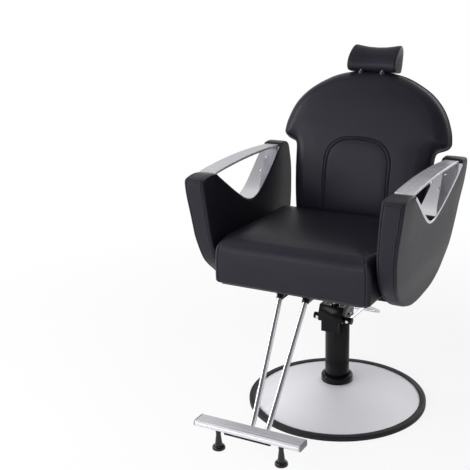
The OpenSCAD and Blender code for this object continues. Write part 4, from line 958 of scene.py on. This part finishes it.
ARM_LOW = 434
ARM_H = 386
ARM_LEN = 583
ARM_REAR = 221
ARM_INNER = 254.5
ARM_LEAN = 26
ARM_THIN = 46
ARM_THICK = 68
ARM_EDGE = 7
ARM_EDGE_SHARE = 0.38
ARM_STITCH_SHARE = 0.09
ARM_PILLOW = 2.2
ARM_SEAM_DEPTH = 1.7
ARM_SEAM_W = 0.022
ARM_BAND_SHARES = (
    0.01, 0.03, 0.05, 0.08, 0.14, 0.24, 0.37, 0.5, 0.63, 0.76, 0.86, 0.92, 0.95, 0.97, 0.99)
BAR_Z = 808
CUT_TOP = 807
CUT_DEPTH = 123
CUT_HALF = 216
CUT_FRONT_SHARE = 1.075
CUT_REAR_SHARE = 0.96
CUT_AHEAD = 72
CUT_ROUND = 65
TRIM_T = 3
TRIM_IN = 3.2
LIP_W = 6
LIP_T = 2.3
ARM_FRONT_SHARES = [
    (0, 0.56), (0.006, 0.615), (0.016, 0.65), (0.033, 0.69), (0.063, 0.745), (0.109, 0.797),
    (0.171, 0.847), (0.296, 0.926), (0.477, 0.975), (0.598, 0.988), (0.741, 0.995), (0.845, 1.000),
    (0.93, 1.000), (0.953, 0.998), (0.964, 0.993), (0.972, 0.982), (0.979, 0.963), (0.984, 0.94),
    (0.987, 0.914), (0.987, 0.892)]
ARM_REAR_SHARES = [
    (0, 0.5), (0.006, 0.435), (0.012, 0.385), (0.024, 0.324), (0.052, 0.257), (0.099, 0.19),
    (0.197, 0.123), (0.332, 0.072), (0.477, 0.039), (0.64, 0.015), (0.78, 0.000), (0.93, 0.000),
    (0.965, 0.004), (0.985, 0.014), (1, 0.035), (1.001, 0.08)]
ARM_INNER_SHARES = [(0, 0), (0.16, 0), (0.48, 0.29), (0.64, 0.46), (0.82, 0.7), (0.94, 0.9), (1, 1)]
ARM_THICK_SHARES = [
    (0, 0), (0.1, 0.08), (0.17, 0.22), (0.3, 0.48), (0.4, 0.55), (0.48, 0.62), (0.6, 0.7), (0.7, 0.82),
    (0.8, 0.95), (0.9, 1), (1, 0.9)]
ARM_TOP_SEAM = (-361, 801)
ARM_STEPS = 240
ARM_FINE = 2400


def arm_faces(z):
    """Places across the chair of the panel's inner and outer faces at a height."""
    t = (np.asarray(z, float) - ARM_LOW) / ARM_H
    inner = ARM_INNER + ARM_LEAN * smooth_at(ARM_INNER_SHARES, t)
    return inner, inner + ARM_THIN + (ARM_THICK - ARM_THIN) * smooth_at(ARM_THICK_SHARES, t)


def cut_z(y):
    full = math.hypot(CUT_HALF, CUT_ROUND) - CUT_ROUND
    span = (y + CUT_AHEAD) * np.where(y < -CUT_AHEAD, CUT_FRONT_SHARE, CUT_REAR_SHARE)
    return CUT_TOP - CUT_DEPTH + CUT_DEPTH * (np.hypot(span, CUT_ROUND) - CUT_ROUND) / full


def cut_line(count, front=0.985, rear=1.02):
    y = np.linspace(-CUT_AHEAD - CUT_HALF / CUT_FRONT_SHARE * front,
                    -CUT_AHEAD + CUT_HALF / CUT_REAR_SHARE * rear, 400)
    return even_line(np.stack([y, cut_z(y)], 1), count)


def arm_lines():
    """Pairs of points of the panel's rim and of its cut-out, closer at the top seam."""
    front, rear = ([(ARM_REAR - ARM_LEN * s, ARM_LOW + ARM_H * t) for t, s in shares]
                   for shares in (ARM_FRONT_SHARES[::-1], ARM_REAR_SHARES))
    rim = smooth_line([(-280, 813)] + front + rear + [(165, ARM_LOW + ARM_H - 1.0)], ARM_FINE + 1)
    cut = cut_line(ARM_FINE + 1)
    seam = int(np.argmin(np.linalg.norm(rim - ARM_TOP_SEAM, axis=1)))
    picks = sorted({*range(0, ARM_FINE + 1, ARM_FINE // ARM_STEPS), *range(seam - 12, seam + 13, 2)})
    return list(zip(rim[picks], cut[picks]))


def arm_section(rim, cut):
    """One closed loop round the panel: inner face out to the rim, round it and back down the outer face."""
    span = np.linalg.norm(rim - cut)
    inward = (cut - rim) / span
    xi, xo = map(float, arm_faces(rim[1]))
    r = min(ARM_EDGE, (xo - xi) * ARM_EDGE_SHARE, span * 0.45)
    side = [(span, 2.4), (span - 0.1 * r, 1.0), (span - 0.3 * r, 0.2)]
    side += [(e, 0.0) for e in np.linspace(span - 0.5 * r, r, 24)]
    side += rounded(r, 7)[1:]
    inner, outer = [], []
    for e, off in side:
        y, z = rim + inward * e
        near, far = map(float, arm_faces(z))
        pillow = ARM_PILLOW * math.sin(min(1, e / 90) * QUARTER) * (
            0.4 + 0.6 * math.sin(min(1, e / span) * math.pi))
        inner.append((near + off, y, z))
        outer.append((far - off + pillow * (off == 0), y, z))
    band = []
    cross = 1.8 * bell(np.linalg.norm(rim - ARM_TOP_SEAM), 2.6)
    for share in ARM_BAND_SHARES:
        dip = ARM_SEAM_DEPTH * (bell(share - 0.03, ARM_SEAM_W) + bell(share - 0.97, ARM_SEAM_W))
        y, z = rim + inward * (max(dip, cross) - 0.8 * math.sin(share * math.pi))
        band.append((xi + r + (xo - xi - 2 * r) * share, y, z))
    return inner + band + outer[::-1]


def arm_panel(side, hand):
    loops = np.array([arm_section(*pair) for pair in arm_lines()])
    return skin(f"arm_panel_{hand}_cover", loops * [side, 1, 1], LEATHER, f"arm_panel_{hand}")


def arm_stitches(side, hand):
    """Stitches on the panel's edge band, beside both of its seams."""
    lines = []
    for share in (ARM_STITCH_SHARE, 1 - ARM_STITCH_SHARE):
        points, outs = [], []
        for rim, cut in arm_lines()[6:-6]:
            inward = unit(cut - rim)
            xi, xo = map(float, arm_faces(rim[1]))
            edge = min(ARM_EDGE, (xo - xi) * ARM_EDGE_SHARE)
            points.append(((xi + edge + (xo - xi - 2 * edge) * share) * side, *(rim - inward * 0.3)))
            outs.append((0, *-inward))
        lines.append((points, outs))
    return stitched(f"arm_stitches_{hand}", lines, "seat")


# Reach into the opening, face of the panel (0 inner, 1 outer), distance outwards from that face
TRIM_SECTION = [
    (0.05, 0, TRIM_IN), (TRIM_T - 0.6, 0, TRIM_IN), (TRIM_T, 0, TRIM_IN + 0.5), (TRIM_T, 0, TRIM_IN + 1.2),
    (TRIM_T, 1, LIP_T - 2.8), (TRIM_T, 1, LIP_T - 1.4), (TRIM_T - 0.4, 1, LIP_T - 0.5),
    (TRIM_T - 1.1, 1, LIP_T), (TRIM_T - 2.0, 1, LIP_T), (-LIP_W + 1.2, 1, LIP_T),
    (-LIP_W + 0.4, 1, LIP_T - 0.2), (-LIP_W, 1, LIP_T - 0.8), (-LIP_W, 1, -1), (0.05, 1, -1)]


def arm_trim(side, hand):
    """Bent chrome strip in the cut-out, with a lip on the panel's outer face."""
    line = cut_line(150, 1.0, 1.0)
    along = unit(np.gradient(line, axis=0))
    rings = []
    for p, n in zip(line, np.stack([-along[:, 1], along[:, 0]], 1)):
        section = []
        for reach, face, off in TRIM_SECTION:
            y, z = p + n * reach
            section.append(((float(arm_faces(z)[face]) + off) * side, y, z))
        rings.append(section)
    return skin(f"arm_trim_{hand}_chrome", rings, TRIM_CHROME, f"arm_trim_{hand}")


BAR_T = 8
BAR_RISE = 9
BAR_FRONT_W = 58
BAR_REAR_W = 46
BAR_FRONT = -CUT_AHEAD - CUT_HALF / CUT_FRONT_SHARE - 1
BAR_REAR = CUT_HALF / CUT_REAR_SHARE - CUT_AHEAD + 2
BAR_EDGE_R = 2.6
BAR_BELLY = 1.5


def bar_section():
    """Section of the bar: side of the middle, distance in from that edge, height from its centre."""
    r, top = BAR_EDGE_R, BAR_T / 2
    corner = [(r + 1.5, top)] + [(off, top - down) for off, down in rounded(r, 5)]
    right = [(1, off, h) for off, h in corner]
    low = [(1, off, -h) for off, h in corner[:0:-1] + corner[:1]]
    return right + low + [(-1, off, h) for _, off, h in (right + low)[::-1]]


def armrest_bar(side, hand):
    """Flat arched chrome bar with rounded edges, narrower towards the rear."""
    middle = float(sum(arm_faces(ARM_LOW + ARM_H))) / 2
    rings = []
    for t in np.linspace(-1, 1, 61):
        arch = 1 - t * t
        y = (BAR_REAR + BAR_FRONT) / 2 + t * (BAR_REAR - BAR_FRONT) / 2
        half = (BAR_FRONT_W + (BAR_REAR_W - BAR_FRONT_W) * (t + 1) / 2) / 2 + BAR_BELLY * arch
        z = BAR_Z + BAR_T / 2 + BAR_RISE * arch
        rings.append([(side * (middle + a * (half - off)), y, z + up) for a, off, up in bar_section()])
    return skin(f"armrest_bar_{hand}_chrome", rings, SATIN_CHROME, f"armrest_bar_{hand}")


SCREW_SHARES = (-0.62, 0.62, 0.86)


def arm_screws():
    lines = []
    for side in (-1, 1):
        for share in SCREW_SHARES:
            y = -CUT_AHEAD + share * CUT_HALF
            n = unit(np.array([(cut_z(y - 1) - cut_z(y + 1)) / 2, 1]))
            p = np.array([y, cut_z(y)]) + n * (TRIM_T - 0.1)
            lines.append(([(side * float(sum(arm_faces(p[1]))) / 2, *p)], [(0, *n)]))
    return repeated("arm_screw_heads", SCREW_HEADS, lines, SCREW, CHROME, "arm_screws")


# ---- footrest, lever and cable

STEM_R = 8
STEM_LOW_Z = 148
STEM_TOP = np.array([42, -327, 481.3])
STEM_BEND = np.array([25, -547, 158])
STEM_FOOT = np.array([25, -604, 148])


def stem(side, hand):
    """Bent bar of the footrest, with a round elbow above its foot."""
    run = STEM_BEND - STEM_TOP
    elbow = STEM_TOP + run * (STEM_TOP[2] - STEM_LOW_Z) / (STEM_TOP[2] - STEM_BEND[2])
    back = STEM_BEND - unit(run) * 5 * STEM_R
    level = elbow + unit(STEM_FOOT - elbow) * 3 * STEM_R
    line = [STEM_TOP + (back - STEM_TOP) * t for t in (0, 0.3, 0.6, 0.9)]
    line += [back * (1 - t) ** 2 + elbow * 2 * t * (1 - t) + level * t ** 2 for t in np.linspace(0, 1, 16)]
    line = even_line(line + [level, STEM_FOOT], 90) * [side, 1, 1]
    return tube(f"footrest_stem_{hand}_chrome", line, STEM_R, 28, CHROME, f"footrest_stem_{hand}")


TREAD_HALF_W = 164
TREAD_FRONT = -640
TREAD_REAR = -592
TREAD_LOW = 164
TREAD_TOP = 182
TREAD_NOSE_R = 9
TREAD_GROOVE_Y = -624
TREAD_RIBS = 5
TREAD_RIB_H = 0.25
TREAD_EDGE_R = 1.6
TREAD_GROOVE_DEPTH, TREAD_GROOVE_W = 1.5, 0.9
TREAD_SHARES = (-1, -0.998, -0.97, -0.5, 0, 0.5, 0.97, 0.998, 1)
TREAD_END_INSET = 0.05


def tread_profile(inset):
    """Section of the extruded tread: ribbed top, one deep groove and a round nose, as y and z."""
    low, top, rear, groove = TREAD_LOW, TREAD_TOP, TREAD_REAR, TREAD_GROOVE_Y
    nose = TREAD_FRONT + TREAD_NOSE_R
    y = np.concatenate([rear - np.array([0, 0.5, 1.2, 2.2]), np.linspace(rear - 3.5, nose, 110)])
    edge = ramp(y, rear - TREAD_EDGE_R, rear)
    ribbed = ramp(y, groove + 4, groove + 6) * ramp(y, rear - 3, rear - 5)
    turns = (y - groove) / (rear - groove) * TREAD_RIBS
    z = top - TREAD_EDGE_R * (1 - np.sqrt(1 - edge ** 2))
    z -= TREAD_RIB_H * (1 - np.cos(turns * 2 * math.pi)) * ribbed
    z -= TREAD_GROOVE_DEPTH * bell(y - groove, TREAD_GROOVE_W)
    a = np.linspace(QUARTER, 3 * QUARTER, 50)[1:]
    r = TREAD_NOSE_R - 0.7 * bell(a - math.pi, 0.08)
    round_nose = np.column_stack([nose + r * np.cos(a), low + TREAD_NOSE_R + r * np.sin(a)])
    back = [(rear - 2, low), (rear - 0.5, low + 0.2), (rear, low + 1.4), (rear, top - 2.4)]
    section = np.vstack([np.column_stack([y, z]), round_nose, back])
    middle = np.array([TREAD_FRONT + rear, low + top]) / 2
    return middle + (section - middle) * (1 - inset / TREAD_NOSE_R)


def tread():
    rings = []
    for share in TREAD_SHARES:
        section = tread_profile(TREAD_END_INSET * (abs(share) == 1))
        rings.append(np.column_stack([np.full(len(section), share * TREAD_HALF_W), section]))
    return skin("footrest_tread_extrusion", rings, ALUMINIUM, "footrest_tread")


LEVER_R = 5.5
LEVER_Z = 303
LEVER_HALF_W = 52
LEVER_END_HALF_W = 58
LEVER_REACH = 226
LEVER_DROP = 63
LEVER_FRONT = -49
LEVER_SHARES = [(0.3, 0), (0.45, 0.06), (0.6, 0.22), (0.74, 0.46), (0.88, 0.74), (0.96, 0.9)]


def foot_lever():
    """Round bar bent down behind the pump, with one arm on each side."""
    low = LEVER_Z - LEVER_DROP
    half = [(LEVER_HALF_W, y, LEVER_Z) for y in (LEVER_FRONT, 0)]
    half += [(LEVER_HALF_W + (LEVER_END_HALF_W - LEVER_HALF_W) * reach, LEVER_REACH * reach,
              LEVER_Z - LEVER_DROP * drop) for reach, drop in LEVER_SHARES]
    half.append((LEVER_END_HALF_W - 4 * LEVER_R / 3, LEVER_REACH * 1.01, low))
    half = np.array(half + [(0, LEVER_REACH * 1.02, low)])
    route = smooth_line(np.vstack([half, mirrored(half)[1:]]), 220)
    return tube("foot_lever_chrome", route, LEVER_R, 24, CHROME, "foot_lever")


CABLE_R = 3.5
CABLE_ROUTE = [
    (-283, 170, 560), (-283, 188, 560), (-280, 215, 563), (-274, 242, 561), (-265, 267, 551),
    (-254, 286, 530), (-243, 296, 505), (-230, 297, 478), (-213, 287, 450), (-192, 268, 427),
    (-170, 243, 412), (-150, 216, 406), (-134, 192, 407), (-123, 170, 413), (-118, 155, 424),
    (-118, 148, 436), (-118, 147, 448)]


def release_cable():
    """Sleeved cable from the arm panel's rear edge to its stop, stiff enough to stand in its loop."""
    route = smooth_line(CABLE_ROUTE, 150)
    sleeve = tube("release_cable_sleeve", route, CABLE_R, 14, BLACK_PLASTIC, "release_cable")


# ---- rigid pieces

EDGE_ANGLE, COVER_ANGLE = 32, 50
BROKEN_EDGES = (
    (ENAMEL, {"base_plate": 0.6, "pump_tube": 0.4, "pump_collar": 0.6, "mount_plate": 1.0, "frame_rails": 0.8,
              "frame_crossbars": 0.8, "hinge_brackets": 0.6, "footrest_socket": 0.6, "footrest_plate": 0.8,
              "hinge_crossbar": 0.6, "cable_stop": 0.4, "gas_anchor": 0.4, "gas_spring_cylinder": 0.5,
              "pump_yoke": 0.9}),
    (ZINC, {"base_bolts": 0.4, "mount_bolts": 0.4, "arm_bolts": 0.4, "pump_plunger": 0.4, "hinge_pins": 0.4,
            "hinge_arm_left": 0.5, "hinge_arm_right": 0.5}),
    (CHROME, {"yoke_pin": 0.6, "ram_rod": 0.8, "headrest_posts": 0.5, "lever_hub": 0.7, "lever_arm": 0.4,
              "gas_spring_rod": 0.3}),
    (STAINLESS, {"base_cover": 0.3}), (RUBBER, {"base_trim": 0.8, "ram_seal": 0.4}),
    (GLOSS_PLASTIC, {"footrest_feet": 0.6}), (IRON, {"pump_body": 0.8}),
    (GREY_PLASTIC, {"tread_end_caps": 0.8}), (BLACK_PLASTIC, {"post_sleeves": 0.4, "lever_tip": 0.8}),
    (PLYWOOD, {"seat_board": 0.8}))


def rigid_pieces():
    for finish, edges in BROKEN_EDGES:
        for node, edge in edges.items():
            softened(node, finish, edge, COVER_ANGLE if finish is STAINLESS else EDGE_ANGLE)


# ---- studio

FLOOR_SIZE = 60
FLOOR_DROP = 0.0006
FLOOR_LIT_R = 0.75
FLOOR_FADE = 1.3
FLOOR_MIRRORED = 0.50
WHITE = (1, 1, 1, 1)
FILL = (0.78, 0.78, 0.84, 1)
FILL_STRENGTH = 0.14


def studio_floor():
    """White to the camera, with the chair's shade near it, and half as light in reflections."""
    bpy.ops.mesh.primitive_plane_add(size=FLOOR_SIZE, location=(0, 0, -FLOOR_DROP))
    floor = bpy.context.object
    floor.name = "studio_floor"
    f = Finish("studio_floor")
    x, y = f.axis("X"), f.axis("Y")
    away = (((x * x + y * y) ** 0.5 - FLOOR_LIT_R) / FLOOR_FADE).math("MINIMUM", 1).math("MAXIMUM", 0)
    paint = f.add("BsdfDiffuse", inputs={"Color": rgb(244, 244, 246)})
    glow = f.add("Emission", inputs={"Color": WHITE, "Strength": 1.0})
    seen = (away * 0.15 + 0.85) * f.ray("Camera")
    f.show_mix(seen.math("MAXIMUM", f.ray("Glossy") * FLOOR_MIRRORED), paint, glow)
    floor.data.materials.append(f.owner)


def studio_world():
    """White to the camera, a white backdrop behind a dark room in reflections, and a faint even fill."""
    f = Finish("studio", "World")
    f.owner.cycles.sampling_method = "NONE"
    bpy.context.scene.world = f.owner
    behind = f.axis("Y", "Generated")
    backdrop = f.add("MapRange", inputs={0: behind, 1: -0.15, 2: 0.4, 3: 0.06, 4: 0.80})
    fill, white = (f.add("Background", inputs={"Color": colour, "Strength": strength})
                   for colour, strength in ((FILL, FILL_STRENGTH), (WHITE, 1.0)))
    f.show_mix(f.ray("Camera").math("MAXIMUM", f.ray("Glossy") * backdrop), fill, white)


# Place, what it is turned to, width and height, power
LAMPS = {
    "front_box": ((-0.5, -3.5, 1.6), (0, 0, 0.65), (3.4, 2.4), 134),
    "sheen_box": ((-1.9, -3.4, 1.35), (0, 0.1, 0.85), (1.7, 1.1), 25),
    "side_box": ((3.2, -0.9, 1.5), (0.2, 0, 0.6), (1.6, 2.0), 5),
    "left_box": ((-3.0, -1.1, 1.3), (0, 0, 0.8), (1.2, 2.2), 48),
    "left_card": ((-1.35, -0.75, 2.1), (0.2, -0.3, 0.7), (1.2, 1.7), 7),
    "rear_box": ((0.9, 3.3, 1.7), (0, 0.3, 0.8), (2.6, 1.8), 27),
    "top_box": ((0.3, -0.5, 3.3), (0, -0.1, 0.3), (2.4, 2.4), 5)}


def studio_lamps():
    """Soft boxes. The one in front lights the leather but isn't mirrored in the chrome."""
    for name, (place, target, size, power) in LAMPS.items():
        data = bpy.data.lights.new(name, "AREA")
        data.shape = "RECTANGLE"
        data.size, data.size_y = size
        data.energy = power
        light = in_scene(name, data)
        stand(light, place, (Vector(target) - Vector(place)).to_track_quat("-Z", "Y"))
        light.visible_glossy = name != "front_box"


# ---- the chair

make_camera()
rigid_pieces()
tread()
foot_lever()
release_cable()
back, head, seat = back_cushion(), headrest(), seat_cushion()
padding = [seat.piece, back.piece, rear_panel(), head.piece]
back_welt()
for sign, hand in HANDS:
    padding.append(arm_panel(sign, hand))
    arm_stitches(sign, hand)
    arm_trim(sign, hand)
    armrest_bar(sign, hand)
    stem(sign, hand)
arm_screws()
headrest_stitches(head)
stitched("arch_stitches", [arch_line(off, back) for off in (-ARCH_SEAM, ARCH_SEAM)], "backrest")
studio_floor()
studio_world()
studio_lamps()
bpy.context.scene.view_settings.view_transform = "Standard"
